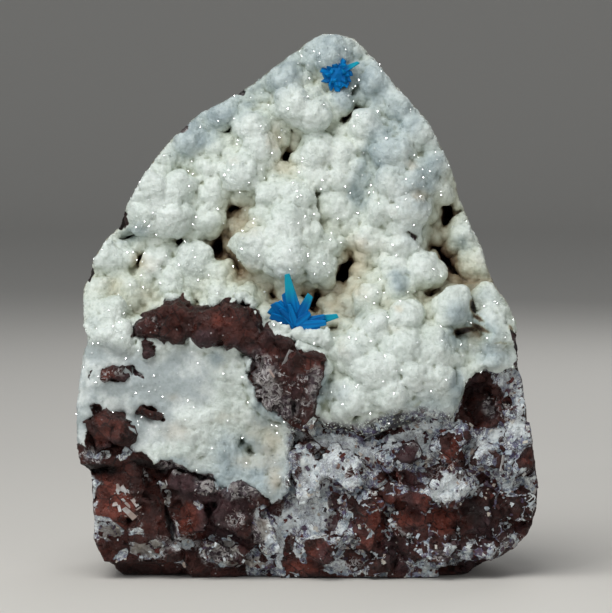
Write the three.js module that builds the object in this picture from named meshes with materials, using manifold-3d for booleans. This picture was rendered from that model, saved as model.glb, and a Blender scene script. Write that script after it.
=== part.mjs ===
// A cavansite specimen: a trimmed slab of red-brown basalt breccia, a lumpy white zeolite crust that lines
// its hollowed front, and two groups of blue cavansite crystals that grew on the crust.
// Millimetres, +Z up, the front of the specimen faces -Y, and the origin is at the middle of the flat base.

import * as THREE from "three";
import { mergeVertices } from "three/addons/utils/BufferGeometryUtils.js";
import { ImprovedNoise } from "three/addons/math/ImprovedNoise.js";
import Module from "manifold-3d";

const wasm = await Module();
wasm.setup();

// ---------------------------------------------------------------- driving dimensions

const HEIGHT = 80; // base to apex
const GAP = 0.3; // between two minerals that touch
const ROUGH = { width: 76, height: 88, below: 3, behind: 40, cell: 6.2 }; // the slab before it is trimmed
const BED = { thickness: 2, thinnest: 0.7, vein: 1.3, uneven: 0.5, cell: 1.6 }; // the crust below its lumps

// How far the basalt's front and back stand from the middle plane, at heights up the slab: [z, distance].
const FRONT_PROFILE = [
  [-4, 13.6], [3, 14.6], [14, 15], [30, 14.6], [37, 13], [44, 8], [52, 6.4], [66, 5.4], [74, 5], [86, 3],
];
const BACK_PROFILE = [[-4, 15], [12, 16.5], [30, 15], [48, 12], [64, 8.5], [80, 4.5], [86, 4]];

// The trimmed sides: how far each ring of them lies behind the front, and how far in from the outline.
const TRIM = {
  rings: [
    { y: -16, inset: 0 }, { y: 3, inset: 0 }, { y: 11, inset: 0.7 }, { y: 21, inset: 2.8 },
    { y: 34, inset: 5.5 },
  ],
  uneven: 0.9, lowest: 0.6, towardsZ: 33.6,
};

// Broad swells (+) and hollows (-) of the basalt's front: x, z, half-width, half-height, how far.
const SWELLS = [
  { x: 13, z: 34, w: 9, h: 10, out: 2.4 }, // tongue of crust at the right
  { x: 14, z: 56, w: 6, h: 10, out: 3.4 }, // boss below the right shoulder
  { x: -3, z: 50, w: 6, h: 7, out: 1.4 }, // island in the hollow
  { x: -22, z: 55, w: 6, h: 5, out: 1.2 }, // left shoulder
  { x: 22, z: 50, w: 4, h: 8, out: -1.2 }, // strip behind the right-hand holes
  { x: -8, z: 20, w: 7, h: 6, out: -2.6 }, // dished part of the vein
  { x: -22, z: 7.5, w: 13, h: 7, out: -1.4 }, // broken rock below the vein's edge
  { x: 15, z: 10, w: 18, h: 9, out: 1.2 }, // breccia at the lower right
  { x: 33, z: 6, w: 6, h: 8, out: -3.5 }, // lower right corner, broken back
];

// The trimmed outline, from the left end of the base round over the apex to the right end: [x, z].
const OUTLINE = [
  [-27.5, 0], [-30.2, 2.6], [-31.7, 6], [-31.5, 9.4], [-31.9, 13], [-31.9, 15.6], [-33.6, 17], [-34, 19.5],
  [-34, 26], [-33.3, 31.5], [-33, 34], [-32.3, 35], [-33.1, 37.2], [-33.2, 42.6], [-32.2, 44.6], [-31.7, 47],
  [-29.9, 49.7], [-27.9, 51.6], [-27.2, 53.8], [-26.6, 55.4], [-24.2, 59.4], [-21.6, 63], [-19.8, 64.9],
  [-18.4, 66.1], [-16.4, 68.1], [-12.6, 70], [-8.4, 72.5], [-6.2, 74.3], [-1.2, 78], [0.6, 79.2], [2, HEIGHT],
  [3.6, HEIGHT], [6.6, 79.2], [8.2, 77.9], [10.6, 75.2], [12.6, 72.6], [14.6, 70.4], [17.6, 67], [19, 64.4],
  [20.8, 60.6], [22.1, 57], [23, 54], [24, 51.4], [25.4, 48.8], [26.4, 45.4], [27.4, 43], [29, 40.8],
  [30.5, 37.6], [30.6, 31], [31.3, 29.4], [32.4, 22.6], [33.2, 18], [33.8, 13.4], [33.6, 10], [32.4, 6.4],
  [30.4, 4.2], [26.4, 2.2], [23, 0],
];

// The part of the front that the crust covers: the lumpy lining above, and the smooth vein at the left.
const CRUST_OUTLINE = [
  [-37, 17], [-31, 16.6], [-25.6, 17.2], [-21.4, 16.4], [-18, 16.8], [-14, 15.4],
  [-12.6, 13.4], [-10, 14.6], [-7, 13], [-5, 11.6], [-3.2, 13], [-3, 18], [-2.4, 22], [0, 24], [4, 23],
  [8, 21.4], [13, 22.8], [17, 24.4], [20.6, 24.2], [22.2, 28], [23.6, 30.6], [27, 31.4], [37, 30.6],
  [37, 50], [22, 72], [8, 84], [-4, 84], [-24, 70], [-37, 50],
];

// Where the crust is built up beyond its bed, as the swells of the basalt are given.
const CRUST_SWELLS = [
  { x: -3, z: 54, w: 6, h: 5, out: 2.6 }, // island in the hollow
  { x: -3.4, z: 47.4, w: 6.6, h: 3.6, out: 3.2 }, // foot of the island
  { x: -1, z: 68.6, w: 3.6, h: 3.2, out: 1.8 }, // lump that hangs below the apex
  { x: -7.6, z: 64, w: 2.6, h: 4, out: 1.2 }, // column
  { x: -10, z: 59.4, w: 2.8, h: 2.8, out: 2 }, // ball
  { x: -22, z: 55, w: 5, h: 5, out: 1 }, // left shoulder
  { x: 21, z: 40.4, w: 3, h: 3, out: 1.6 }, // grey ball at the right
  { x: 17.4, z: 45, w: 4, h: 2.4, out: 1.6 }, // beak over the right-hand hole
  { x: -12, z: 41.6, w: 9, h: 1.6, out: 1.2 }, // lip over the ledge
];

// Lumps of the crust: x, z, radius.
const LUMPS = [
  // apex and rims
  [3, 77, 3.2], [-3.6, 73.6, 2.6], [9.6, 73, 2.6], [-12.6, 68, 2.4], [-17.6, 64, 2.6], [-22, 60.6, 2.4],
  [13.2, 69.6, 2.4], [16.2, 65.6, 2.6], [18.8, 61, 2.4], [19.2, 56.8, 2.2], [22.6, 50.2, 2.4],
  [24.4, 45.8, 2.4],
  // the hanging lump, the column and the ball
  [-2.2, 69.4, 2.7], [0.6, 68.2, 2.5], [-8.2, 66, 2.5], [-7, 63, 2.5], [-10, 59.3, 3], [-13.6, 63.2, 2.1],
  // left shoulder and below it
  [-23.4, 57.2, 3.2], [-19.4, 57.2, 2.8], [-24, 53.2, 2.8], [-20, 53, 3.2], [-15, 60, 2.5], [-14.6, 56, 2.8],
  [-15, 52.2, 2.8], [-17.2, 46.2, 3.2], [-13.4, 44.4, 2.6], [-20.2, 43.2, 2.4], [-23.4, 45.8, 2.6],
  [-29, 46.6, 3], [-26.8, 42.6, 2.6], [-31, 41, 2.6], [-28.8, 37.2, 3],
  // upper middle and island
  [0.8, 62.4, 3], [4.8, 62.2, 2.8], [8.4, 66.4, 2.8], [5, 70, 2.2], [1.8, 58.8, 2.4], [5.8, 58.6, 2.6],
  [-4.4, 60.2, 2], [-5.4, 56.2, 2.6], [-1.8, 56, 2.7], [-4.4, 52.6, 3], [-0.4, 52.2, 2.2], [-7.4, 48.4, 3],
  [-3, 47.6, 3], [1.4, 45.8, 3], [3, 49.4, 2.4], [4.6, 54, 2.6],
  // right boss
  [11.8, 62.6, 3], [12.2, 58, 3], [15.6, 58, 2.6], [14.6, 53.8, 3], [10.4, 54, 2.4], [9, 50, 2.6],
  [13.6, 49, 2.6],
  // right-hand tongue
  [17.2, 45.2, 2.8], [12.8, 43.8, 2.8], [8.6, 41.4, 2.6], [21, 40.3, 3.2], [26.6, 40.4, 2.9], [26.6, 36, 2.6],
  [14.2, 38.8, 2.6], [9.8, 37, 2.6], [6.6, 33.6, 2.7], [14, 34.6, 3], [18.4, 34.4, 2.8], [10, 31.2, 2.9],
  [15.4, 30.8, 2.6], [6.6, 27, 2.8], [12, 27.4, 2.7], [19, 29.4, 2.5], [27.2, 32, 2.2],
  // lip over the ledge
  [-13.6, 41.8, 1.9], [-9.8, 41.6, 1.9], [-6.4, 38.8, 1.8], [-0.6, 35.8, 1.8], [2.8, 34.6, 1.8],
];
const DOME = { spread: 1.15, height: 1.05 }; // of a lump's radius

// Gaps between the lumps, nearly down to the basalt: x, z, half-width, half-height, lean in degrees.
const PITS = [
  { x: -3, z: 62, w: 1.1, h: 1.6, lean: -30 }, { x: -0.4, z: 65.1, w: 2.6, h: 0.9, lean: 8 },
  { x: 6.4, z: 68.3, w: 2.1, h: 0.9, lean: 38 }, { x: -11.8, z: 65.8, w: 1, h: 0.9, lean: 0 },
  { x: -11.2, z: 54.2, w: 1.8, h: 1, lean: 20 }, { x: -18.9, z: 49.1, w: 1.1, h: 1.5, lean: -25 },
  { x: -13.6, z: 49.1, w: 1.9, h: 1.9, lean: -20 }, { x: -10.9, z: 46.8, w: 0.9, h: 2.1, lean: 35 },
  { x: 1, z: 54.9, w: 0.8, h: 1.7, lean: 0 }, { x: 5.1, z: 44.9, w: 1.2, h: 2.6, lean: -22 },
  { x: 20.5, z: 53.5, w: 1, h: 2.7, lean: 8 }, { x: 19.2, z: 48, w: 1.5, h: 1.7, lean: 20 },
  { x: 20.8, z: 45.6, w: 1, h: 2.2, lean: 40 }, { x: -24.6, z: 46.6, w: 0.8, h: 1.8, lean: -35 },
  { x: -26.8, z: 49.9, w: 1.3, h: 0.8, lean: 20 }, { x: 0.8, z: 41, w: 1.7, h: 1.3, lean: 0 },
  { x: -5, z: 41.6, w: 1.2, h: 0.8, lean: 0 }, { x: 17.9, z: 42, w: 1.7, h: 0.7, lean: 30 },
  { x: 23.9, z: 39.8, w: 0.6, h: 1.5, lean: 15 }, { x: 20.6, z: 36.4, w: 2.1, h: 0.8, lean: 12 },
];

// Angular blocks of basalt: x, z, half-width, half-height, turn in degrees, and how far their faces stand
// off the rock behind. The ledge and the vein's inclusions come through the crust, the breccia lies below it.
const LEDGE = [
  [-22.4, 37.3, 3.6, 1.7, 12, 5.6], [-18.2, 38, 2.6, 2.4, -20, 6.6], [-14.4, 37.2, 2.8, 2.5, 8, 6.2],
  [-10.4, 37.6, 2.4, 2.9, -24, 6.8], [-8.2, 35.2, 2.2, 2, 40, 6.4], [-5.6, 32.2, 2.8, 3.4, -18, 6.6],
  [-1.2, 31.2, 3.4, 2.6, 10, 5.8], [-4.6, 28.4, 3, 2.2, 24, 6], [-1.4, 26.4, 2, 3, -30, 5.2],
  [-23.4, 33.9, 1.5, 1.2, 30, 4.9],
];
const INCLUSIONS = [
  [-28.8, 21.6, 2.8, 2.7, 20, 4.2], [-28.4, 30.2, 2.3, 1.2, 4, 4.2], [-23, 24.6, 2.3, 0.8, -22, 4],
];
const BRECCIA = [
  [-28, 12.4, 3, 3, 10, 2.6], [-23.6, 9.4, 3, 3.8, -16, 3.2], [-29, 8, 2.2, 2.4, 24, 2],
  [-19, 14.2, 2.6, 1.6, -20, 3], [-14.8, 13.4, 2, 1.8, 18, 2.6], [-17.2, 9.2, 2.8, 2.9, 6, 2.8],
  [-10.4, 10.8, 3.2, 3, -26, 3.2], [-27.6, 4, 3.4, 1.9, -8, 1.8], [-20.8, 4.2, 2.8, 1.8, 12, 2.2],
  [-13, 4.2, 2.8, 1.8, -10, 2.8], [-6, 6.8, 1.9, 3, 20, 2.6], [1.3, 4.4, 2.3, 2.2, -24, 2.6],
  [7.8, 8.8, 2.2, 3.3, -14, 2.8], [-0.6, 15.4, 2, 3.3, 14, 3], [5.2, 16.2, 3, 2.4, -30, 3],
  [12.2, 18.2, 3, 1.9, 10, 2.8], [15, 12, 2.6, 2.1, -22, 2.6],
  [13.8, 8.2, 2.2, 2, 30, 2], [20.3, 13.8, 2.3, 2.1, 36, 3.2], [21, 19.6, 1.8, 2.4, -40, 2.6],
  [30.4, 23.6, 1.9, 2.6, 8, 2.4], [25.8, 18.8, 2.4, 1.9, -12, 2.8], [30.4, 17.2, 2, 2.6, 14, 2.6],
  [30.8, 11, 2, 2.8, -8, 2.6], [23.6, 8.6, 3, 2.2, 16, 1.6], [17.6, 4.8, 2.8, 2, -18, 2.4],
  [10, 3.4, 2.6, 1.7, 12, 2.2], [24, 4, 2.4, 1.5, -6, 1.8],
];
const CAVITIES = [[25, 26, 3.4, 2.7, 22, 5]]; // cut out of the rock by a block of the same shape
const ANGULAR = { uneven: 0.3, lean: 0.22, halfDepth: 4 };

// The base's front edge is chipped: the left part is broken back further than the right.
const CHIPS = [
  { x: -20, y: -17.4, z: -1.4, width: 31, depth: 9, height: 3.6, tip: 14, turn: 3 },
  { x: 27, y: -16, z: -0.6, width: 14, depth: 12, height: 4.4, tip: 20, turn: 14 },
  { x: -8, y: 19, z: -2, width: 60, depth: 7, height: 5, tip: -24, turn: -4 },
];

// Blades of cavansite: direction in the plane of the front (degrees from +X, anticlockwise), how far it
// leans out to the front, length and half-width. Each group fans out of one root.
const SPRAY = {
  root: { x: -2.5, z: 38.3, off: 2.6 },
  blades: [
    [95, 6, 6.9, 1.0], [88, 14, 4.3, 1.35], [106, 24, 3.9, 1.3], [54, 12, 4.9, 0.95], [68, 38, 3.9, 1.2],
    [6, 14, 7.0, 0.9], [-4, 26, 5.2, 1.15], [18, 40, 3.8, 1.1], [152, 10, 3.9, 1.2], [136, 14, 4, 1.05],
    [168, 26, 3.7, 1.2], [122, 42, 3.4, 1.2], [196, 34, 2.6, 1.1], [-34, 52, 2.3, 1.1], [84, 62, 3.2, 1.2],
    [150, 64, 3.1, 1.2], [20, 70, 3, 1.15],
  ],
};
const ROSETTE = {
  root: { x: 4, z: 74.1, off: 1.7 },
  rings: [
    { lean: 8, count: 8, length: 2.35, half: 0.66, from: 12 },
    { lean: 38, count: 6, length: 2.2, half: 0.72, from: 30 },
    { lean: 68, count: 3, length: 2.0, half: 0.8, from: 5 },
  ],
  longBlade: [25, 6, 3.75, 0.5],
};
const BLADE = { sides: 4, flat: 0.62, foot: 0.4, waist: 0.8, shoulder: 0.7 };

// ---------------------------------------------------------------- small tools

const EVEN_SIDED = 2 / Math.sqrt(3); // cells across to cells up, in a grid of equal-sided triangles
const SHEAR = 1 / Math.sqrt(3);
const UP_THE_BLADE = new THREE.Vector3(0, 1, 0);
const perlin = new ImprovedNoise();
const noise = (x, y, z, size) => perlin.noise(x / size + 31.7, y / size + 17.3, z / size + 5.1);
const degrees = THREE.MathUtils.degToRad;

/** Straight-line interpolation through [at, value] pairs. */
function along(pairs, at) {
  const next = pairs.findIndex(([a]) => a > at);
  if (next === 0) return pairs[0][1];
  if (next < 0) return pairs[pairs.length - 1][1];
  const [[a, from], [b, to]] = [pairs[next - 1], pairs[next]];
  return THREE.MathUtils.lerp(from, to, (at - a) / (b - a));
}

/** Moves every vertex of a geometry by a function that changes the Vector3 it is given. */
function reshape(geometry, move) {
  const position = geometry.getAttribute("position");
  const point = new THREE.Vector3();
  for (let i = 0; i < position.count; i++) {
    move(point.fromBufferAttribute(position, i));
    position.setXYZ(i, point.x, point.y, point.z);
  }
  return geometry;
}

/** A closed three.js geometry as a solid that can be joined and cut. */
function solid(geometry) {
  const bare = geometry.index ? geometry.clone() : geometry;
  for (const name of ["normal", "uv"]) bare.deleteAttribute(name);
  const merged = mergeVertices(bare, 1e-4);
  return new wasm.Manifold(new wasm.Mesh({
    numProp: 3,
    vertProperties: new Float32Array(merged.attributes.position.array),
    triVerts: new Uint32Array(merged.index.array),
  }));
}

const join = (solids) => solids.reduce((whole, next) => whole.add(next));
const largest = (whole) => whole.decompose().reduce((a, b) => (a.volume() > b.volume() ? a : b));

/** A solid as a named three.js mesh. */
function meshOf(name, whole, material) {
  const { vertProperties, triVerts } = whole.getMesh();
  const geometry = new THREE.BufferGeometry();
  geometry.setAttribute("position", new THREE.BufferAttribute(vertProperties, 3));
  geometry.setIndex(new THREE.BufferAttribute(triVerts, 1));
  geometry.computeVertexNormals();
  const mesh = new THREE.Mesh(geometry, material);
  mesh.name = name;
  return mesh;
}

/** A flat outline in x and z, drawn out from front to back along y. */
function prism(outline, steps = 1) {
  const shape = new THREE.Shape(outline.map(([x, z]) => new THREE.Vector2(x, z)));
  const geometry = new THREE.ExtrudeGeometry(shape, { depth: 1, steps, bevelEnabled: false });
  return geometry.rotateX(Math.PI / 2).translate(0, 1, 0); // y is 1 at the back and 0 at the front
}

// ---------------------------------------------------------------- surfaces of the slab

/** How far a list of swells stands out at x and z. */
function swellAt(swells, x, z) {
  const rise = (s) => s.out * Math.exp(-(((x - s.x) / s.w) ** 2) - ((z - s.z) / s.h) ** 2);
  return swells.reduce((sum, swell) => sum + rise(swell), 0);
}

/** y of the basalt's front. */
function frontOf(x, z) {
  return -along(FRONT_PROFILE, z) - swellAt(SWELLS, x, z) - 0.7 * noise(x, 0, z, 9);
}

/** y of the basalt's back: a rough broken face. */
function backOf(x, z) {
  const rounded = 0.0045 * x * x;
  return along(BACK_PROFILE, z) - rounded + 2.4 * noise(x, 40, z, 15) + 1.5 * noise(x, 80, z, 6.5);
}

/** The solid that trims everything to the outline: straight in front, drawn in and uneven at the back. */
function trimmer() {
  const last = TRIM.rings.length - 1;
  return solid(reshape(prism(OUTLINE, last), (p) => {
    const ring = TRIM.rings[Math.round(p.y * last)];
    const inward = new THREE.Vector2(-p.x, TRIM.towardsZ - p.z).normalize();
    const inset = ring.inset && ring.inset + TRIM.uneven * noise(p.x, ring.y, p.z, 8);
    const onBase = Math.abs(p.z) < 0.01;
    p.y = frontOf(p.x, p.z) + ring.y;
    p.x += inward.x * inset;
    if (!onBase) p.z = Math.max(p.z + inward.y * inset, TRIM.lowest);
  }));
}

/** A slab between two surfaces that are functions of x and z, on a sheared grid of even-sided triangles. */
function slab(front, back, cell) {
  const width = ROUGH.width + ROUGH.height * SHEAR;
  const [cellsX, cellsZ] = [width / cell, (ROUGH.height / cell) * EVEN_SIDED].map(Math.round);
  const box = new THREE.BoxGeometry(width, 1, ROUGH.height, cellsX, 1, cellsZ);
  return solid(reshape(box, (p) => {
    p.x -= SHEAR * p.z;
    p.z += ROUGH.height / 2 - ROUGH.below;
    p.y = p.y < 0 ? front(p.x, p.z) : back(p.x, p.z);
  }));
}

// ---------------------------------------------------------------- basalt

/** One angular block, its face a given way off the rock behind. */
function block([x, z, halfWidth, halfHeight, turn, proud], index, swell = 0) {
  const { uneven, lean, halfDepth } = ANGULAR;
  const geometry = reshape(new THREE.BoxGeometry(2, 2, 2), (corner) => {
    const own = corner.x + 2 * corner.y + 4 * corner.z + 9 * index;
    corner.x += uneven * Math.sin(own * 1.7);
    corner.z += uneven * Math.sin(own * 2.9);
    corner.multiply(new THREE.Vector3(halfWidth + swell, halfDepth + swell, halfHeight + swell));
  });
  geometry.rotateX(lean * Math.sin(index * 2.3)).rotateZ(lean * Math.sin(index * 4.1));
  geometry.rotateY(-degrees(turn));
  return solid(geometry.translate(x, frontOf(x, z) + halfDepth - proud, z));
}

/** The basalt, or with a swell the space that the crust keeps clear of it. */
function basalt(swell) {
  const blocks = [...LEDGE, ...INCLUSIONS, ...BRECCIA].map((one, i) => block(one, i, swell));
  const back = swell > 0 ? () => 2 * ROUGH.behind : backOf;
  const rock = slab((x, z) => frontOf(x, z) - swell, back, ROUGH.cell);
  return join([rock.subtract(join(CAVITIES.map((one, i) => block(one, i)))), ...blocks]);
}

/** Wedges broken off the edges of the base. */
function chips() {
  return join(CHIPS.map(({ x, y, z, width, depth, height, tip, turn }) => {
    const wedge = reshape(new THREE.BoxGeometry(width, depth, height, 6, 2, 1), (p) => {
      p.z += 0.5 * noise(p.x, p.y, 3, 5);
      p.y += 1.1 * noise(p.x, 9, p.z, 6);
    });
    return solid(wedge.rotateX(degrees(tip)).rotateZ(degrees(turn)).translate(x, y, z));
  }));
}

// ---------------------------------------------------------------- crust

/** How far the lumps of the crust stand off its bed at x and z. */
function lumpsAt(x, z) {
  const heights = LUMPS.map(([lumpX, lumpZ, radius]) => {
    const away = Math.hypot(x - lumpX, z - lumpZ) / (DOME.spread * radius);
    return away < 1 ? DOME.height * radius * (1 - away ** 2) : 0;
  });
  return Math.max(...heights);
}

/** How far the pits go in at x and z, from 0 outside them to 1 at their bottom. */
function pitsAt(x, z) {
  const depths = PITS.map((pit) => {
    const [cos, sin] = [Math.cos(degrees(pit.lean)), Math.sin(degrees(pit.lean))];
    const [long, across] = [(x - pit.x) * cos + (z - pit.z) * sin, (z - pit.z) * cos - (x - pit.x) * sin];
    return 1 - THREE.MathUtils.smoothstep(Math.hypot(long / pit.w, across / pit.h), 0.7, 1.6);
  });
  return Math.max(...depths);
}

/** y of the crust's face. */
function crustFrontOf(x, z) {
  const rock = frontOf(x, z);
  const vein = THREE.MathUtils.smoothstep(-x, -4, 4) * THREE.MathUtils.smoothstep(40 - z, 0, 6);
  const swell = swellAt(CRUST_SWELLS, x, z);
  const bed = BED.thickness + BED.vein * vein + swell + BED.uneven * noise(x, 20, z, 4.5);
  return rock - THREE.MathUtils.lerp(bed + lumpsAt(x, z), BED.thinnest, pitsAt(x, z));
}

/** The crust: it covers the basalt's front, where the basalt's blocks don't break through. */
function crust(trim, crystals) {
  const cover = solid(prism(CRUST_OUTLINE).scale(1, 2 * ROUGH.behind, 1).translate(0, -ROUGH.behind, 0));
  const grown = slab(crustFrontOf, () => ROUGH.behind, BED.cell).intersect(cover);
  return largest(grown.intersect(trim).subtract(basalt(GAP)).subtract(crystals));
}

// ---------------------------------------------------------------- cavansite

/** One blade, out of its group's root: a flattened four-sided prism that ends in a point. */
function blade([angle, lean, length, half], root, index, swell) {
  const [long, wide] = [length + swell, half + swell];
  const shoulder = [wide, long * BLADE.shoulder];
  const profile = [[0, -BLADE.foot - swell], [wide * BLADE.waist, 0], shoulder, [0, long]];
  const geometry = new THREE.LatheGeometry(profile.map(([r, h]) => new THREE.Vector2(r, h)), BLADE.sides);
  geometry.scale(1, 1, BLADE.flat + swell / 2).rotateY(index * 1.1);
  const [a, b] = [degrees(angle), degrees(lean)];
  const direction = new THREE.Vector3(Math.cos(a) * Math.cos(b), -Math.sin(b), Math.sin(a) * Math.cos(b));
  geometry.applyQuaternion(new THREE.Quaternion().setFromUnitVectors(UP_THE_BLADE, direction));
  return solid(geometry.translate(root.x, frontOf(root.x, root.z) - BED.thickness - root.off, root.z));
}

const spray = (swell = 0) => join(SPRAY.blades.map((b, i) => blade(b, SPRAY.root, i, swell)));

function rosette(swell = 0) {
  const blades = ROSETTE.rings.flatMap(({ lean, count, length, half, from }) =>
    Array.from({ length: count }, (_, i) => {
      const uneven = 1 + 0.14 * Math.sin(i * 5.3 + lean);
      return [from + (360 * i) / count, lean, length * uneven, half];
    }));
  return join([...blades, ROSETTE.longBlade].map((b, i) => blade(b, ROSETTE.root, i, swell)));
}

// ---------------------------------------------------------------- the specimen

const materials = {
  basalt: new THREE.MeshStandardMaterial({ color: 0x4a2622, roughness: 0.62, metalness: 0 }),
  crust: new THREE.MeshStandardMaterial({ color: 0xd9d8cc, roughness: 0.5, metalness: 0 }),
  cavansite: new THREE.MeshStandardMaterial({ color: 0x0763ad, roughness: 0.3, metalness: 0 }),
};

const trim = trimmer();
const matrixSolid = largest(basalt(0).intersect(trim).subtract(chips()));
const crustSolid = crust(trim, join([spray(GAP), rosette(GAP)]));

const specimen = new THREE.Group();
specimen.add(
  meshOf("basalt_matrix", matrixSolid, materials.basalt),
  meshOf("zeolite_crust", crustSolid, materials.crust),
  meshOf("cavansite_spray", spray(), materials.cavansite),
  meshOf("cavansite_rosette", rosette(), materials.cavansite),
);

// The middle of the box round the whole specimen comes over the origin.
const bounds = new THREE.Box3().setFromObject(specimen);
const middle = bounds.getCenter(new THREE.Vector3());
specimen.position.set(-middle.x, -middle.y, -bounds.min.z);

export default specimen;
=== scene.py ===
import math
import random

import bmesh
import bpy
import numpy as np
from mathutils import Matrix, Vector, noise
from mathutils.bvhtree import BVHTree


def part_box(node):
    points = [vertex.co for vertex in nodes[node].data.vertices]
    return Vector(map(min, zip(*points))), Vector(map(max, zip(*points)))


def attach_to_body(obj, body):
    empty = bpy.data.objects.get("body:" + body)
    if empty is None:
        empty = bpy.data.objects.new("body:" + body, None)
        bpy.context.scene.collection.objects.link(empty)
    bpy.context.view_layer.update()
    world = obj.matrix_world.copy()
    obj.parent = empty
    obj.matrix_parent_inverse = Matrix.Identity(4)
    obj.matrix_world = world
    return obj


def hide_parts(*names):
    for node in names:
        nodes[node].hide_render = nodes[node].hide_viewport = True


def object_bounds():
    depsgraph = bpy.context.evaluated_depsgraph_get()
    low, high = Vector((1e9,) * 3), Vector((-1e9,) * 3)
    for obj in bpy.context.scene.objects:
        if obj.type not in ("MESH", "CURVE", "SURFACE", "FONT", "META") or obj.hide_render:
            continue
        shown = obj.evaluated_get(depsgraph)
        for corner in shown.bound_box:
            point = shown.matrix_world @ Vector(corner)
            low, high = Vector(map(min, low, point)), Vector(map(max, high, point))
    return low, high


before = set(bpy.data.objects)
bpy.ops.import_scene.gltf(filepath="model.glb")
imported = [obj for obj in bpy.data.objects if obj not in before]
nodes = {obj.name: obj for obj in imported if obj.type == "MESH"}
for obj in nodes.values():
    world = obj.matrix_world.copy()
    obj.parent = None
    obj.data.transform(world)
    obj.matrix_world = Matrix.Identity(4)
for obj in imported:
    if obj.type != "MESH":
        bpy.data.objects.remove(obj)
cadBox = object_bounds()
scene = bpy.context.scene
toMetres = 0.001  # every shape below is made in millimetres
shift = 0.1  # the outlines below are drawn from the middle of the base, the frame from the middle of its box
farFront = -60  # y from which probes look back at the front
gridCell = 0.5  # spacing of the grids that the front is read on
seeds = dict(fillers=11, noise=5, knobs=8, scatter=5, laths=6, blades=3)

print("camera and light")
view = dict(aim=(-0.34, -10, 39.9), distance=700, raised=3.5, width=90, sensor=36)


def lookAt(thing, spot, target):
    thing.location = Vector(spot) * toMetres
    thing.rotation_euler = (Vector(target) - Vector(spot)).to_track_quat("-Z", "Y").to_euler()


def addCamera():
    data = bpy.data.cameras.new("camera")
    data.sensor_width = view["sensor"]
    data.lens = view["sensor"] * view["distance"] / view["width"]
    camera = bpy.data.objects.new("camera", data)
    scene.collection.objects.link(camera)
    rise = math.radians(view["raised"])
    aim = Vector(view["aim"])
    lookAt(camera, aim + view["distance"] * Vector((0, -math.cos(rise), math.sin(rise))), aim)
    scene.camera = camera


lamps = {  # where each stands, how wide it is in mm, its power in watts and its colour
    "overhead": dict(spot=(-140, -230, 430), size=380, power=1.95, tint=(1, 0.985, 0.96)),
    "left": dict(spot=(-420, -330, 160), size=300, power=0.4, tint=(0.93, 0.97, 1)),
    "right": dict(spot=(430, -380, 120), size=340, power=0.34, tint=(1, 0.97, 0.93)),
    "glintHigh": dict(spot=(-210, -520, 330), size=34, power=0.22, tint=(1, 1, 1)),
    "glintLeft": dict(spot=(-330, -560, 60), size=34, power=0.16, tint=(1, 1, 1)),
    "glintRight": dict(spot=(240, -600, 220), size=34, power=0.18, tint=(1, 1, 1)),
    "behind": dict(spot=(150, 420, 330), size=300, power=0.6, tint=(1, 1, 1)),
}
lampAim = (0, 0, 38)
skyLook = dict(colour=(0.93, 0.96, 1, 1), strength=0.19)


def addLamps():
    for name, lamp in lamps.items():
        data = bpy.data.lights.new(name, "AREA")
        data.size = lamp["size"] * toMetres
        data.energy = lamp["power"]
        data.color = lamp["tint"]
        light = bpy.data.objects.new(name, data)
        scene.collection.objects.link(light)
        lookAt(light, lamp["spot"], lampAim)
    world = bpy.data.worlds.new("studio")
    scene.world = world
    world.use_nodes = True
    sky = world.node_tree.nodes["Background"]
    sky.inputs["Color"].default_value = skyLook["colour"]
    sky.inputs["Strength"].default_value = skyLook["strength"]
    scene.view_settings.view_transform = "Standard"
    scene.view_settings.look = "None"


addCamera()
addLamps()


def tone(red, green, blue):  # a colour given as on a screen, 0 to 255
    linear = [((c / 255 + 0.055) / 1.055) ** 2.4 if c > 10 else c / 255 / 12.92 for c in (red, green, blue)]
    return (*linear, 1)


class Wire:  # a socket that can be written in sums
    def __init__(self, board, socket):
        self.board, self.socket = board, socket

    def __add__(self, other):
        return self.board.maths("ADD", self, other)

    def __sub__(self, other):
        return self.board.maths("SUBTRACT", self, other)

    def __rsub__(self, other):
        return self.board.maths("SUBTRACT", other, self)

    def __mul__(self, other):
        return self.board.maths("MULTIPLY", self, other)

    def __gt__(self, other):
        return self.board.maths("GREATER_THAN", self, other)

    __radd__ = __add__
    __rmul__ = __mul__


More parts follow.
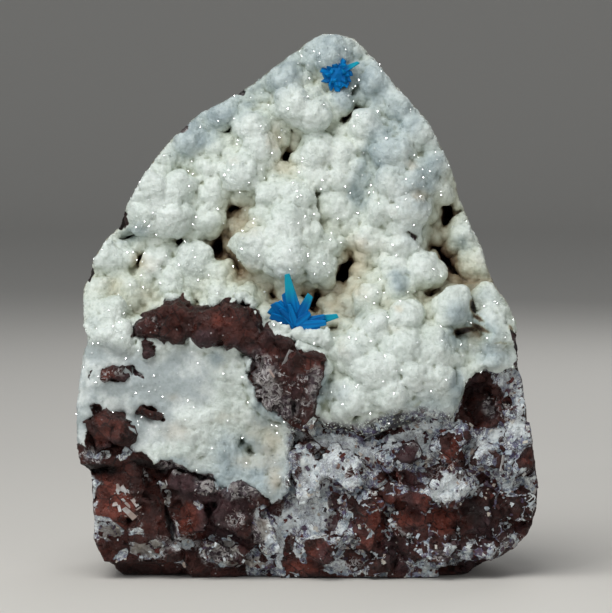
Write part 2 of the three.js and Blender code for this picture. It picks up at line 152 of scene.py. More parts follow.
class Board:  # a material and its nodes
    def __init__(self, name):
        self.material = bpy.data.materials.new(name)
        self.material.use_nodes = True
        self.tree = self.material.node_tree
        self.tree.nodes.clear()
        self.place = Wire(self, self.tree.nodes.new("ShaderNodeTexCoord").outputs["Object"])

    def add(self, kind, settings, sockets, output=0):
        node = self.tree.nodes.new(kind)
        for key, value in settings.items():
            if key == "stops":
                for at, colour in value[2:]:
                    node.color_ramp.elements.new(at)
                for element, (at, colour) in zip(node.color_ramp.elements, sorted(value)):
                    element.position, element.color = at, colour
            else:
                setattr(node, key, value)
        for key, value in sockets.items():
            if isinstance(value, Wire):
                self.tree.links.new(value.socket, node.inputs[key])
            else:
                node.inputs[key].default_value = value
        return Wire(self, node.outputs[output])

    def maths(self, operation, *values):
        return self.add("ShaderNodeMath", {"operation": operation}, dict(enumerate(values)))

    def step(self, value, low, high):  # 0 below low, 1 above high, smooth between
        return self.add("ShaderNodeMapRange", {"interpolation_type": "SMOOTHSTEP"},
                        {"Value": value, "From Min": low, "From Max": high})

    def mix(self, amount, first, second, how="MIX"):
        return self.add("ShaderNodeMix", {"data_type": "RGBA", "blend_type": how},
                        {0: amount, 6: first, 7: second}, 2)

    def ramp(self, value, *stops):
        return self.add("ShaderNodeValToRGB", {"stops": stops}, {"Fac": value})

    def tinted(self, first, second):
        return self.mix(1.0, first, second, "MULTIPLY")

    def attribute(self, name):
        return self.add("ShaderNodeAttribute", {"attribute_name": name}, {}, "Fac")

    def cloud(self, size, detail=3, rough=0.55, twist=0.0, output=0):  # size in mm
        return self.add("ShaderNodeTexNoise", {}, {"Vector": self.place, "Scale": 1 / (size * toMetres),
                        "Detail": detail, "Roughness": rough, "Distortion": twist}, output)

    def patches(self, low, high, *cloud):  # soft patches of noise: 0 below low, 1 above high
        return self.step(self.cloud(*cloud), low, high)

    def thread(self, *cloud):  # 0 along thin winding lines
        return self.maths("ABSOLUTE", self.cloud(*cloud) - 0.5)

    def cells(self, size, feature="F1", output="Distance", place=None):
        return self.add("ShaderNodeTexVoronoi", {"feature": feature},
                        {"Vector": place or self.place, "Scale": 1 / (size * toMetres)}, output)

    def lots(self, size, place=None, output=0):  # one random number for each cell
        colour = self.cells(size, output="Color", place=place)
        return self.add("ShaderNodeSeparateColor", {}, {"Color": colour}, output)

    def stripes(self, name, scale):  # noise along an attribute
        return self.add("ShaderNodeTexNoise", {"noise_dimensions": "1D"},
                        {"W": self.attribute(name), "Scale": scale})

    def vectors(self, operation, *values, output=0):
        return self.add("ShaderNodeVectorMath", {"operation": operation}, dict(enumerate(values)), output)

    def facets(self, size):  # tilted planes, one to a cell, their height in mm
        cell = {key: self.cells(size, output=key) for key in ("Position", "Color")}
        away = self.vectors("SUBTRACT", self.place, cell["Position"])
        tilt = self.vectors("SUBTRACT", cell["Color"], (0.5, 0.5, 0.5))
        return self.vectors("DOT_PRODUCT", away, tilt, output="Value") * (1 / toMetres)

    def bump(self, height, depth, strength=1.0):  # depth in mm
        return self.add("ShaderNodeBump", {},
                        {"Height": height, "Distance": depth * toMetres, "Strength": strength})

    def skin(self, **sockets):
        named = {key.replace("_", " "): value for key, value in sockets.items()}
        return self.add("ShaderNodeBsdfPrincipled", {}, named)

    def finish(self, shader):
        out = self.tree.nodes.new("ShaderNodeOutputMaterial")
        self.tree.links.new(shader.socket, out.inputs["Surface"])
        return self.material


def oval(x, z, wide, high, lean=0, corners=14):
    turn = math.radians(lean)
    ring = [2 * math.pi * i / corners for i in range(corners)]
    return [(x + wide * math.cos(a) * math.cos(turn) - high * math.sin(a) * math.sin(turn),
             z + wide * math.cos(a) * math.sin(turn) + high * math.sin(a) * math.cos(turn)) for a in ring]


def depthIn(outline, x, z):  # mm inside an outline, negative outside
    nearest = np.full(x.shape, 1e9)
    inside = np.zeros(x.shape, bool)
    for (ax, az), (bx, bz) in zip(outline, outline[1:] + outline[:1]):
        ex, ez = bx - ax, bz - az
        t = np.clip(((x - ax) * ex + (z - az) * ez) / (ex * ex + ez * ez + 1e-9), 0, 1)
        nearest = np.minimum(nearest, (x - ax - t * ex) ** 2 + (z - az - t * ez) ** 2)
        inside ^= ((az > z) != (bz > z)) & (x < ex * (z - az) / (ez if ez else 1e-9) + ax)
    return np.where(inside, 1, -1) * np.sqrt(nearest)


def deepest(outlines, x, z, reach=3.0):  # mm inside the outline that a point lies deepest in, down to -reach
    depth = np.full(x.shape, -reach)
    for outline in outlines:
        corners = np.array(outline)
        (left, low), (right, high) = corners.min(0) - reach, corners.max(0) + reach
        near = (x > left) & (x < right) & (z > low) & (z < high)
        depth[near] = np.maximum(depth[near], depthIn(outline, x[near], z[near]))
    return depth


def smoothstep(low, high, value):
    t = np.clip((value - low) / (high - low), 0, 1)
    return t * t * (3 - 2 * t)


def withinMark(x, z, mx, mz, wide, high, lean):  # places along and across a mark, for its half-sizes
    c, s = math.cos(math.radians(lean)), math.sin(math.radians(lean))
    return ((x - mx) * c + (z - mz) * s) / wide, ((z - mz) * c - (x - mx) * s) / high


def marksAt(marks, x, z):  # the sum of soft round marks: x, z, half-width, half-height, lean, strength
    total = np.zeros(x.shape)
    for *mark, strength in marks:
        along, across = withinMark(x, z, *mark)
        total += strength * np.exp(-along ** 2 - across ** 2)
    return total


def startFrom(node):  # a merged copy of a CAD node, in mm
    shape = bmesh.new()
    shape.from_mesh(nodes[node].data)
    bmesh.ops.remove_doubles(shape, verts=shape.verts, dist=1e-7)
    bmesh.ops.scale(shape, vec=(1 / toMetres,) * 3, verts=shape.verts)
    return shape


def probe(tree, x, z):  # the spot and the normal where a line from the front meets a shape, or None twice
    return tree.ray_cast(Vector((x + shift, farFront, z)), Vector((0, 1, 0)))[:2]


def frontOf(tree, left, right, low, high):  # a grid over the front, and the y of a shape on it
    x, z = np.meshgrid(np.arange(left, right, gridCell), np.arange(low, high, gridCell), indexing="ij")
    hits = [probe(tree, x[at], z[at])[0] for at in np.ndindex(x.shape)]
    return x, z, np.array([np.nan if hit is None else hit.y for hit in hits]).reshape(x.shape)


def pieceOf(shape, name):
    mesh = bpy.data.meshes.new(name)
    shape.to_mesh(mesh)
    shape.free()
    piece = bpy.data.objects.new(name, mesh)
    scene.collection.objects.link(piece)
    return piece


def applied(piece):  # bakes a piece's modifiers into its mesh
    bpy.context.view_layer.update()
    mesh = bpy.data.meshes.new_from_object(piece.evaluated_get(bpy.context.evaluated_depsgraph_get()))
    old = piece.data
    piece.modifiers.clear()
    piece.data = mesh
    mesh.name = piece.name
    bpy.data.meshes.remove(old)
    return piece


def remeshed(piece, cell):  # one skin round all that a piece holds
    remesh = piece.modifiers.new("remesh", "REMESH")
    remesh.mode = "VOXEL"
    remesh.voxel_size = cell
    return applied(piece)


def tiled(shape, spots, sizes, turns, name):  # many copies of one small shape as one piece
    corners = np.array([vertex.co[:] for vertex in shape.verts])
    sides = np.array([[vertex.index for vertex in face.verts] for face in shape.faces])
    shape.free()
    points = np.einsum("nij,kj->nki", turns, corners) * sizes[:, None, None] + spots[:, None, :]
    faces = (sides[None] + np.arange(len(spots))[:, None, None] * len(corners)).reshape(-1, 3)
    mesh = bpy.data.meshes.new(name)
    mesh.vertices.add(len(spots) * len(corners))
    mesh.vertices.foreach_set("co", points.ravel())
    mesh.loops.add(len(faces) * 3)
    mesh.loops.foreach_set("vertex_index", faces.ravel().astype(np.int32))
    mesh.polygons.add(len(faces))
    mesh.polygons.foreach_set("loop_start", np.arange(0, len(faces) * 3, 3, dtype=np.int32))
    mesh.update(calc_edges=True)
    piece = bpy.data.objects.new(name, mesh)
    scene.collection.objects.link(piece)
    return piece


def anyTurns(draw, count):  # rotations at random
    turns, _ = np.linalg.qr(draw.normal(size=(count, 3, 3)))
    return turns * np.sign(np.linalg.det(turns))[:, None, None]


def readPoints(piece):
    points = np.empty(len(piece.data.vertices) * 3)
    piece.data.vertices.foreach_get("co", points)
    return points.reshape(-1, 3)


def readNormals(piece):
    normals = np.empty(len(piece.data.vertices) * 3, np.float32)
    piece.data.vertex_normals.foreach_get("vector", normals)
    return normals.reshape(-1, 3).astype(float)


def writePoints(piece, points):
    piece.data.vertices.foreach_set("co", points.ravel())
    piece.data.update()


def relaxed(piece, points, rounds, pull):  # draws each point towards the mean of its neighbours
    edges = np.empty(len(piece.data.edges) * 2, np.int64)
    piece.data.edges.foreach_get("vertices", edges)
    a, b = edges.reshape(-1, 2).T
    size = len(points)
    count = np.bincount(np.concatenate([a, b]), minlength=size)[:, None]
    for _ in range(rounds):
        total = np.stack([np.bincount(a, points[b, i], size) + np.bincount(b, points[a, i], size)
                          for i in range(3)], 1)
        points = points + pull * (total / np.maximum(count, 1) - points)
    return points


def attach(piece, name, values):
    piece.data.attributes.new(name, "FLOAT", "POINT").data.foreach_set("value", values.astype(np.float32))


def readMarks(piece, name):
    values = np.empty(len(piece.data.vertices), np.float32)
    piece.data.attributes[name].data.foreach_get("value", values)
    return values


def writeMarks(piece, name, values):
    piece.data.attributes[name].data.foreach_set("value", values.astype(np.float32))


def perPoint(points, measure):
    return np.array([measure(Vector(p)) for p in points.tolist()])


def bevelled(shape, edges, wide):
    bmesh.ops.bevel(shape, geom=edges, offset=wide, offset_type="OFFSET", segments=1, affect="EDGES",
                    profile=0.5, material=-1)


def placed(piece, material, replaced=None, smooth=True):  # finishes a piece
    piece.data.transform(Matrix.Scale(toMetres, 4))
    piece.data.materials.clear()
    piece.data.materials.append(material)
    piece.data.polygons.foreach_set("use_smooth", [smooth] * len(piece.data.polygons))
    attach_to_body(piece, "root")
    if replaced:
        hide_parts(replaced)
    print("  ", piece.name, sum(len(face.vertices) - 2 for face in piece.data.polygons), "triangles")


# what lies where on the front is drawn in mm: x from the middle of the base, z up
outerEdge = [
    (-27.5, 0), (-30.2, 2.6), (-31.7, 6), (-31.5, 9.4), (-31.9, 13), (-31.9, 15.6), (-33.6, 17),
    (-34, 19.5), (-34, 26), (-33.3, 31.5), (-33, 34), (-32.3, 35), (-33.1, 37.2), (-33.2, 42.6),
    (-32.2, 44.6), (-31.7, 47), (-29.9, 49.7), (-27.9, 51.6), (-27.2, 53.8), (-26.6, 55.4), (-24.2, 59.4),
    (-21.6, 63), (-19.8, 64.9), (-18.4, 66.1), (-16.4, 68.1), (-12.6, 70), (-8.4, 72.5), (-6.2, 74.3),
    (-1.2, 78), (0.6, 79.2), (2, 80), (3.6, 80), (6.6, 79.2), (8.2, 77.9), (10.6, 75.2), (12.6, 72.6),
    (14.6, 70.4), (17.6, 67), (19, 64.4), (20.8, 60.6), (22.1, 57), (23, 54), (24, 51.4), (25.4, 48.8),
    (26.4, 45.4), (27.4, 43), (29, 40.8), (30.5, 37.6), (30.6, 31), (31.3, 29.4), (32.4, 22.6), (33.2, 18),
    (33.8, 13.4), (33.6, 10), (32.4, 6.4), (30.4, 4.2), (26.4, 2.2), (23, 0),
]

rockPatches = [
    # the ledge across the middle, and the scraps below it
    [(-26.1, 35.6), (-25.8, 37.1), (-24.5, 37.5), (-24.3, 38), (-22.9, 39.2), (-21.8, 39.5), (-20.9, 40.3),
     (-19.5, 40.7), (-20, 42), (-18.9, 41.1), (-18.3, 41.8), (-17.8, 40.7), (-17, 39.6), (-15.5, 39.8),
     (-14.2, 39.2), (-13.7, 40.3), (-12.3, 40.7), (-11.3, 40.2), (-10.2, 40), (-9.7, 41.2), (-8.7, 40.3),
     (-8.9, 39.2), (-7.5, 38.6), (-7.6, 37.7), (-6.5, 36.7), (-5, 35.8), (-6.7, 35.2), (-8.1, 33.1),
     (-9.4, 33.5), (-10.7, 34.6), (-13, 34.4), (-14.2, 34.6), (-16.1, 35.2), (-17.4, 36.3), (-18.2, 35.8),
     (-19, 35), (-19.9, 34.4), (-19.9, 35.2), (-21, 35.6), (-23.1, 35.8), (-24.9, 35.4)],
    [(-24.6, 34.8), (-23.3, 35), (-22.4, 34.2), (-23, 33.1), (-23.9, 32.5), (-24.3, 33.7)],
    [(-26.2, 35.2), (-25.2, 35.3), (-25.4, 34.5)],
    # the boss below the blue spray
    [(-8.4, 33), (-7, 35), (-5, 35.9), (-3.7, 35.3), (-2.7, 35), (-1.8, 34.4), (-1.6, 33.7), (0, 33.6),
     (0.5, 33.1), (1.8, 32.7), (2.4, 32.2), (2.2, 31.4), (1.5, 29.5), (1.2, 27.4), (0.5, 25), (-0.6, 23.2),
     (-1.6, 22.8), (-3, 24), (-4.4, 24.6), (-6.4, 25.8), (-7.7, 26.6), (-7.9, 28.5), (-8.9, 30)],
    # flecks in the vein and along the rims
    [(-30.4, 31.1), (-28.9, 31.4), (-27.2, 31.3), (-27.9, 30.6), (-26.5, 30.1), (-26.4, 29.6),
     (-27.5, 29.6), (-28.7, 29.3), (-30.1, 29.9)],
    [(-26.4, 31.5), (-25.2, 31.5), (-24.4, 30.6), (-24.1, 29.3), (-24.8, 29.9), (-25.8, 30.8)],
    [(-32.1, 30.8), (-31.5, 31.2), (-31.8, 30.4), (-31.9, 29.5)],
    [(-25.2, 25.3), (-24.3, 25.9), (-22.8, 25.8), (-22, 24.7), (-20.7, 23.9), (-21, 23.4), (-22.4, 24.2),
     (-23.9, 24.3), (-25.2, 24.5)],
    [(-31.9, 25.5), (-31.2, 26.4), (-30.2, 25.8), (-30.3, 24.5), (-31.7, 24.5)],
    [(14.2, 51.3), (14.9, 51), (15.9, 50.2), (15.6, 49.9), (14.7, 50.5)],
    oval(-9.8, 71.2, 0.6, 0.5), oval(-18.5, 66, 0.9, 0.7, 40), oval(-27.3, 52.3, 0.6, 1.5, -20),
    oval(-32.3, 44.4, 0.6, 1), oval(24, 40.2, 0.35, 1.2, 15),
    [(29.3, 37.4), (30.7, 35.4), (30.8, 30.4), (30.2, 30.6), (30.2, 34), (29.5, 35.6)],
    # the broken rock at the lower left
    [(-36, 20.3), (-33.1, 20.4), (-32.4, 19.6), (-32.6, 22.4), (-32.3, 23.7), (-31.2, 24.5), (-29.4, 24.4),
     (-27.7, 23.9), (-26.6, 22.6), (-25.8, 21.3), (-26, 19.9), (-25.4, 19.2), (-24.1, 19), (-22.9, 17.9),
     (-22.3, 17.1), (-21.8, 17.8), (-20.1, 17.9), (-18.7, 17.1), (-17.4, 16.1), (-16.1, 15.7),
     (-14.4, 15.8), (-13.8, 15), (-13.7, 13.3), (-12.1, 13.3), (-10.7, 14.2), (-9.6, 14.6), (-8.1, 13.8),
     (-6.7, 12.6), (-6.1, 11.3), (-5.3, 11.4), (-4.5, 12.1), (-3.4, 11.6), (-3.8, 10.2), (-4.1, 8.9),
     (-5.6, 9.8), (-6.2, 10.8), (-7.7, 10.8), (-8.1, 8.7), (-7.3, 7.5), (-6.9, 5.6), (-9.2, 3.7),
     (-10.5, -2), (-36, -2)],
    # fragments in the pale cement at the lower right
    [(-0.5, 22.3), (0.8, 20.4), (-1.6, 20)],
    [(0.5, 19.8), (2.8, 19.5), (2.5, 18.9), (1.4, 18.8), (0.6, 17.8)],
    [(-1.5, 17.1), (-0.9, 16.2), (-1.9, 15), (-2.2, 15.9)],
    [(3.1, 15.4), (3.6, 14.8), (3.3, 14), (2.8, 14.8)],
    [(15.8, 20.9), (16, 19.7), (15.5, 18), (14.7, 17.1), (13.1, 17.6), (12.4, 17.8), (12.9, 18.6),
     (14.5, 20.1)],
    [(19.2, 21.3), (20.8, 21.3), (21.9, 19.7), (23.2, 17.6), (22.5, 16.7), (21.5, 17.1), (20.6, 18.8),
     (19.2, 19.7)],
    [(12, 15.9), (13.5, 16.5), (15, 15.9), (16, 15), (16.2, 14.2), (14.5, 13.8), (13.5, 14.2), (12.2, 15)],
    [(9.7, 15.7), (11.4, 15.7), (11.7, 15.1), (10.8, 14.5), (10.1, 15)],
    [(10.5, 13.2), (13.1, 12.9), (14.7, 13.4), (16.8, 12.9), (17.5, 11.5), (16.4, 9.8), (17.9, 8.7),
     (16.8, 8.1), (13.9, 7.7), (12.4, 8.7), (13.1, 10.8), (11, 11.7)],
    [(5.5, 12.1), (6.4, 12.2), (8, 10.8), (9.5, 9.4), (10.5, 7.5), (11.4, 5.6), (10.8, 3.9), (8, 4.5),
     (7.4, 5.6), (9.2, 6.6), (8.4, 8.7), (6.8, 9.6), (5.9, 10.2)],
    [(17.9, 10.4), (20.2, 10.8), (21.7, 9.6), (21.9, 7.5), (20.2, 6.2), (18.9, 7.1), (17.9, 8.3)],
    [(21.9, 10.8), (22.9, 11.7), (25.5, 10.8), (26.9, 8.7), (26.5, 6.6), (24, 5.8), (22.1, 5.8),
     (22.1, 7.7)],
    [(11.8, 6.9), (12.9, 6.9), (15, 5.4), (16, 5), (15.2, 4.1), (12.9, 5)],
    [(14.7, 4.8), (16.2, 4.1), (16.4, 3.1), (15.6, 2.4), (14.5, 3.5)],
    [(10.8, 3.9), (12.4, 4.1), (13.9, 3.1), (14.7, 1.2), (13.5, -0.5), (11.6, -0.5), (11.4, 2.4)],
    [(-0.5, 6.2), (1.9, 6.4), (3.2, 4.8), (2.8, 2.9), (1.5, 1.6), (3.2, 0.6), (6.1, 0.6), (7.6, -0.5),
     (1.3, -1), (-3.8, 1.4), (-3.9, 3.3), (-2.9, 3.5), (-1.2, 2.7), (-0.2, 2.9), (-0.8, 4.8)],
    [(30.9, 18.4), (32, 19.7), (34.4, 19.2), (34.4, 16.7), (32.2, 16.3), (30.7, 16.9)],
    [(27.4, 18.4), (28.6, 18.2), (28.4, 15.7), (27.6, 16.3)],
    [(30.7, 7.7), (32.8, 9.6), (33.7, 11.9), (35, 10), (34, 5.6), (31.1, 6)],
    [(27.4, 10.2), (29, 11.9), (29.5, 10.8), (27.8, 8.7), (26.5, 7.7)],
    # the red cavity above them
    [(21, 23.2), (21.3, 23.7), (22.2, 25.8), (22.6, 28.5), (23.8, 30.2), (25.4, 30.7), (26.6, 29.9),
     (26.9, 28.9), (28.2, 28.3), (28.7, 27.3), (27.9, 25.8), (28.6, 24.3), (28.2, 23.2), (27.4, 22.4),
     (26.1, 22.2), (24.4, 22.8), (22.6, 23.4)],
]

# what the crust covers, and the pale breccia at the lower right
crustCover = [
    (-37, 17), (-31, 16.6), (-25.6, 17.2), (-21.4, 16.4), (-18, 16.8), (-14, 15.4), (-12.6, 13.4),
    (-10, 14.6), (-7, 13), (-5, 11.6), (-3.2, 13), (-3, 18), (-2.4, 22), (0, 24), (4, 23), (8, 21.4),
    (13, 22.8), (17, 24.4), (20.6, 24.2), (22.2, 28), (23.6, 30.6), (27, 31.4), (37, 30.6), (37, 50),
    (22, 72), (8, 84), (-4, 84), (-24, 70), (-37, 50),
]
brecciaEdge = [
    (-3.2, 22.6), (0, 24.4), (4, 23.2), (8, 23), (12, 25), (17, 25.6), (20, 24.8), (21.4, 23.4), (28, 23),
    (29.4, 24), (31, 21.6), (37, 20.6), (37, -3), (-10.5, -3), (-9.2, 3.7), (-6.9, 5.6), (-7.3, 7.5),
    (-8.1, 8.7), (-7.7, 10.8), (-6.2, 10.8), (-3.8, 12), (-3.2, 17),
]

paleScraps = [  # pale mineral over the rock, the last of them plain crust
    [(-33, 16), (-30.4, 14.6), (-29.7, 14.1), (-30.7, 13.8), (-31.1, 12.8), (-31.2, 9.6), (-33, 9.6)],
    [(-28.6, 18.2), (-27.5, 18.6), (-26.8, 19.7), (-25.8, 19), (-26.4, 18.2), (-27.5, 17.6)],
    [(-32.8, 19.2), (-29.1, 19), (-29.4, 18), (-32.6, 18)],
    [(-22, 14.8), (-21.2, 14.6), (-20.1, 12.8), (-20.4, 10.9), (-20.9, 10.8), (-21.6, 12.9)],
    [(-17.2, 11.6), (-16.3, 11.8), (-15.3, 10.8), (-15.9, 10.3), (-16.5, 10.8)],
    [(-33, 9.6), (-29.5, 9.6), (-27.9, 8.1), (-27.2, 7.4), (-27.3, 6), (-29, 5.5), (-30.6, 5.9),
     (-33, 5.6)],
    [(-29, 3.2), (-27.6, 4.3), (-26.6, 4.6), (-26.4, 3.6), (-27.4, 2.9), (-28.6, 2.6)],
    [(-26.6, 6.9), (-26, 7.6), (-25, 7.8), (-24, 7.1), (-23.8, 6.5), (-25, 6.9)],
    [(-26.4, 5.6), (-24.4, 5.3), (-22.8, 5.9), (-21, 5.7), (-21.2, 4.2), (-22.6, 3.2), (-24.4, 3.3),
     (-26.2, 3.9)],
    [(-20.4, 8.3), (-19.4, 8.9), (-18.7, 6), (-19.8, 5.7), (-20.5, 6.2)],
    [(-20.4, 5), (-19.2, 5.4), (-17.8, 6), (-17, 5), (-16.3, 4.3), (-18.2, 4.2), (-19.6, 4.7)],
    [(-20, 2.1), (-19.3, 2.9), (-18.5, 2.9), (-17.6, 1.9), (-19.8, 1.6)],
    [(-16, 4), (-15.6, 5.8), (-14.6, 6.4), (-12.4, 6.2), (-10.2, 5.4), (-9.7, 4), (-9.2, 3.2), (-4.6, 3.4),
     (-4.4, 1.2), (-9, 1.4), (-13.2, 1.8), (-15, 2.6)],
    [(-2.6, 4.3), (-2.5, 5.2), (-1.4, 5.4), (-0.4, 4.1), (-0.1, 2.4), (-1, 2.2), (-1.8, 3.3)],
    [(7.2, 8.9), (8.4, 8.9), (9.5, 6.9), (8.7, 6.6), (7.6, 8)],
    [(-27, 35.8), (-24.6, 36), (-22.4, 35.9), (-20.4, 35.4), (-20.6, 34.4), (-22, 34.7), (-24, 34.9),
     (-27, 34)],
]

veinEdge = [  # the smooth bluish vein
    (-37, 35), (-30, 35.4), (-26.6, 34.2), (-22, 32.8), (-19.6, 34.2), (-16.4, 34.4), (-14.6, 32),
    (-13.4, 29.4), (-14, 26.4), (-17, 25.2), (-19.4, 24.4), (-17.4, 22.4), (-18, 20.4), (-22, 20.2),
    (-24.4, 19), (-37, 18),
]
roughEdge = [  # the rougher crust beside it
    (-37, 18), (-25, 18), (-20, 24.8), (-15, 26), (-14, 35.4), (-10, 34.2), (-8.4, 32.6), (-9, 29.6),
    (-7.9, 26.6), (-5, 25), (-2.6, 23.2), (-2.8, 17), (-3.2, 12), (-10, 11), (-37, 11),
]

# greyer and bluer areas of the crust, and painted shade: x, z, half-width, half-height, lean, strength
greyMarks = [
    (-13.5, 68.5, 6.5, 2.6, 32, 1), (-4, 74.5, 5.5, 3.2, 36, 0.95), (3, 77.5, 4.5, 3, 0, 1),
    (9, 72.5, 3.4, 4, -40, 0.9), (13.5, 66.5, 3.2, 6, -30, 0.8), (18, 60, 2.4, 5, -16, 0.75),
    (8.8, 61, 1.8, 5, -12, 0.8), (7, 56, 1.6, 3, 10, 0.6), (-17, 64, 4, 2.2, 35, 0.65),
    (-26, 50.3, 2.6, 1.6, 20, 0.9), (13.3, 43.9, 1.7, 1.9, 0, 1), (21.4, 39.6, 2, 2, 0, 0.75),
    (22, 35.6, 3, 2, 0, 0.8), (27.5, 32.6, 3.6, 1.8, 0, 0.6), (14.4, 56.4, 3.4, 4.6, 0, 0.5),
    (15.6, 50, 2.6, 2, 0, 0.4), (-12, 18, 7, 4.6, 0, 0.25), (25.8, 41.8, 2.4, 1.6, -20, 0.5),
    (22.4, 48.8, 1.6, 1.6, 0, 0.7), (6.5, 39.5, 3, 2, 0, 0.55), (-31.5, 37.5, 1.4, 2, 0, 0.4),
    (17, 25.8, 4.5, 3, 0, 0.6), (4.6, 28, 2.6, 2.4, 0, 0.45), (-4.4, 45.2, 2.6, 2, 0, 0.3),
    # in the rough crust beside the vein
    (-20.6, 22.4, 3.4, 1.6, -10, 0.7), (-11.4, 14.6, 3, 1.8, -20, 0.6), (-13.6, 32.6, 1.4, 1.6, 0, 0.8),
    (-12.4, 20.4, 1.6, 2.2, 0, 0.25),
    # granular and greyer areas of the rock
    (26.4, 25, 1.8, 1.6, 0, 1.2), (-31.6, 18.4, 2.2, 1.3, 0, 1), (-20.2, 16.8, 2.6, 1.3, 0, 1.1),
    (-15.4, 14.2, 1.5, 1.7, 0, 1), (-6.8, 30.2, 2.3, 4.2, 10, 1), (-4.6, 25, 3.2, 1.8, 20, 1.7),
    (-22.4, 4.4, 1.6, 2, 0, 0.9), (-13.4, 3.8, 3, 2.2, 0, 1.1), (-7, 7, 1.6, 3, 0, 1),
    (21, 3.4, 4, 2.6, 0, 0.7), (30, 5, 3, 2, 30, 0.8), (-11.4, 12.8, 1.6, 1, 0, 0.6),
    (-2.2, 30.6, 3.4, 3.6, 0, 0.25), (1.2, 29, 1.4, 3.4, 0, 1.1), (-19, 5.8, 2, 1.6, 0, 0.7),
    (-22, 37.6, 3.4, 0.9, 10, 0.4),
    # painted shade: grey over shaded parts of the crust
    (-7.4, 15.8, 4.6, 3, -20, 1), (25, 36.6, 2.6, 2.6, 0, 1), (21.6, 28.6, 1.2, 2.8, 0, 1),
    (5.6, 70.6, 2.2, 1.8, 30, 1), (7.6, 72.4, 1.6, 2.2, -30, 1), (-4.6, 13.6, 1.2, 1.8, 0, 1),
    (-8.4, 18.2, 3.4, 2.8, 0, 0.8), (-20, 27.5, 5, 2, 0, 0.3),
]

# tan and pink stains: x, z, half-width, half-height, lean, strength
tanMarks = [
    (3, 40.3, 1.8, 1.5, 0, 0.9), (6.8, 42.2, 2.2, 1.3, 0, 0.7), (-5, 64.5, 1.7, 2.6, 0, 0.8),
    (-3.6, 60.2, 2.6, 1.4, 0, 0.7), (-9, 51.8, 2.6, 2, 0, 0.7), (-9.6, 45, 3, 1.8, 0, 0.8),
    (-28.5, 43.2, 3, 1.6, 0, 0.5), (6.8, 47.6, 1.6, 3.4, 0, 0.7), (-19, 22, 3.4, 2.2, 0, 0.6),
    (-8, 22.6, 2.6, 3.2, 0, 0.4), (-5.6, 19.4, 2.4, 3, 0, 0.45), (11, 40.6, 1.6, 1.2, 0, 0.5),
    (23.8, 34, 1.8, 1.3, 0, 0.3), (13, 40, 0.9, 0.6, 0, 0.8), (24.6, 46.5, 2, 4, 0, 0.5),
    (-11, 61.6, 1.4, 1, 0, 0.5), (3.6, 60.8, 5, 6, 0, 0.28), (10, 48.6, 3.6, 3, 0, 0.3),
    (13.4, 55, 4.4, 6, 0, 0.32), (6.8, 46.6, 1.8, 2.6, 0, 0.6), (12.8, 37, 2.4, 1, 0, 0.4),
    (-22.5, 46, 2.6, 1.2, 40, 0.4), (5, 34.4, 1.2, 2.4, 0, 0.5), (16.4, 56.2, 1.6, 0.9, 0, 0.6),
    (15, 60.8, 1, 1, 0, 0.6), (-12.5, 24, 2, 1.2, 0, 0.5), (-20, 27, 1.6, 1, 0, 0.5),
    (-5, 21, 1.4, 3, 0, 0.4), (-13, 31.6, 2, 1.4, 0, 0.4), (-25, 46.6, 1.8, 1.6, 0, 0.9),
    (-5, 14.6, 1.4, 2.4, 0, 0.9), (-9.4, 17.6, 2.6, 1.6, 0, 0.6), (24.6, 35.8, 2.4, 2.4, 0, 0.25),
    # smooth grey-brown mineral in the blocks below
    (-29, 6.8, 1.9, 1.2, 0, 1), (-24.4, 4.6, 2.2, 1.2, 0, 1), (-22, 4.8, 1.2, 1.2, 0, 0.7),
    (-12.9, 4.4, 3, 1.6, 0, 1.1), (-8.6, 2.4, 4.2, 0.9, 0, 0.8), (-6.8, 7.6, 1.2, 2.2, 0, 0.8),
    (-21, 12.8, 1, 2.2, 0, 0.8), (-19.5, 7.2, 0.8, 1.6, 0, 0.5),
]
# how much of the breccia is fragments of rock: x, z, half-width, half-height, lean, strength
rockyMarks = [
    (14, 10, 5, 4.4, 0, 1), (20, 8.6, 5, 4, 0, 1), (26, 8.4, 4.4, 4, 0, 1), (10, 3, 4, 3, 0, 0.8),
    (3, 4, 3, 3, 0, 0.3), (14, 18.4, 2.4, 1.6, 0, 0.3), (30, 9, 2.6, 4, 0, 0.8), (20.6, 19, 2, 3, 0, 0.6),
    (8, 9.6, 2, 3, 0, 0.7), (31.6, 17, 2, 2, 0, 0.6),
]

# redder areas of the rock: x, z, half-width, half-height, lean, strength
brickMarks = [
    (-28.6, 11, 3.4, 4.4, 0, 1), (-17, 9, 3, 3.4, 0, 0.9), (-29, 22, 3, 3, 0, 0.6),
    (-23.5, 37, 2, 1.6, 0, 0.7), (-13, 38.4, 1.4, 1.2, 0, 0.4), (9, 8, 3, 4, -40, 0.9),
    (15, 10.5, 4, 3, 0, 0.9), (21, 18.6, 2, 3, -30, 0.8), (19.6, 8.6, 2, 2, 0, 1),
    (32.4, 18, 1.4, 1.6, 0, 0.8), (1.6, 4, 2.4, 2.6, 0, 0.8), (27.6, 25.4, 1.4, 2, 0, 0.7),
    (14, 15.4, 2, 1.4, 0, 0.7), (-2, 1.8, 3, 1.4, 0, 0.8), (-30, 3.6, 3, 1.6, 0, 0.5),
    (1.4, 31.4, 2, 1.6, 0, 0.7), (-1.4, 29.4, 2.6, 3, 0, 0.5), (-5, 33.6, 2, 1.6, 0, 0.4),
    (-28.8, 30.4, 2, 1, 0, 0.8), (-14, 37.8, 6, 2, 0, 0.3),
]

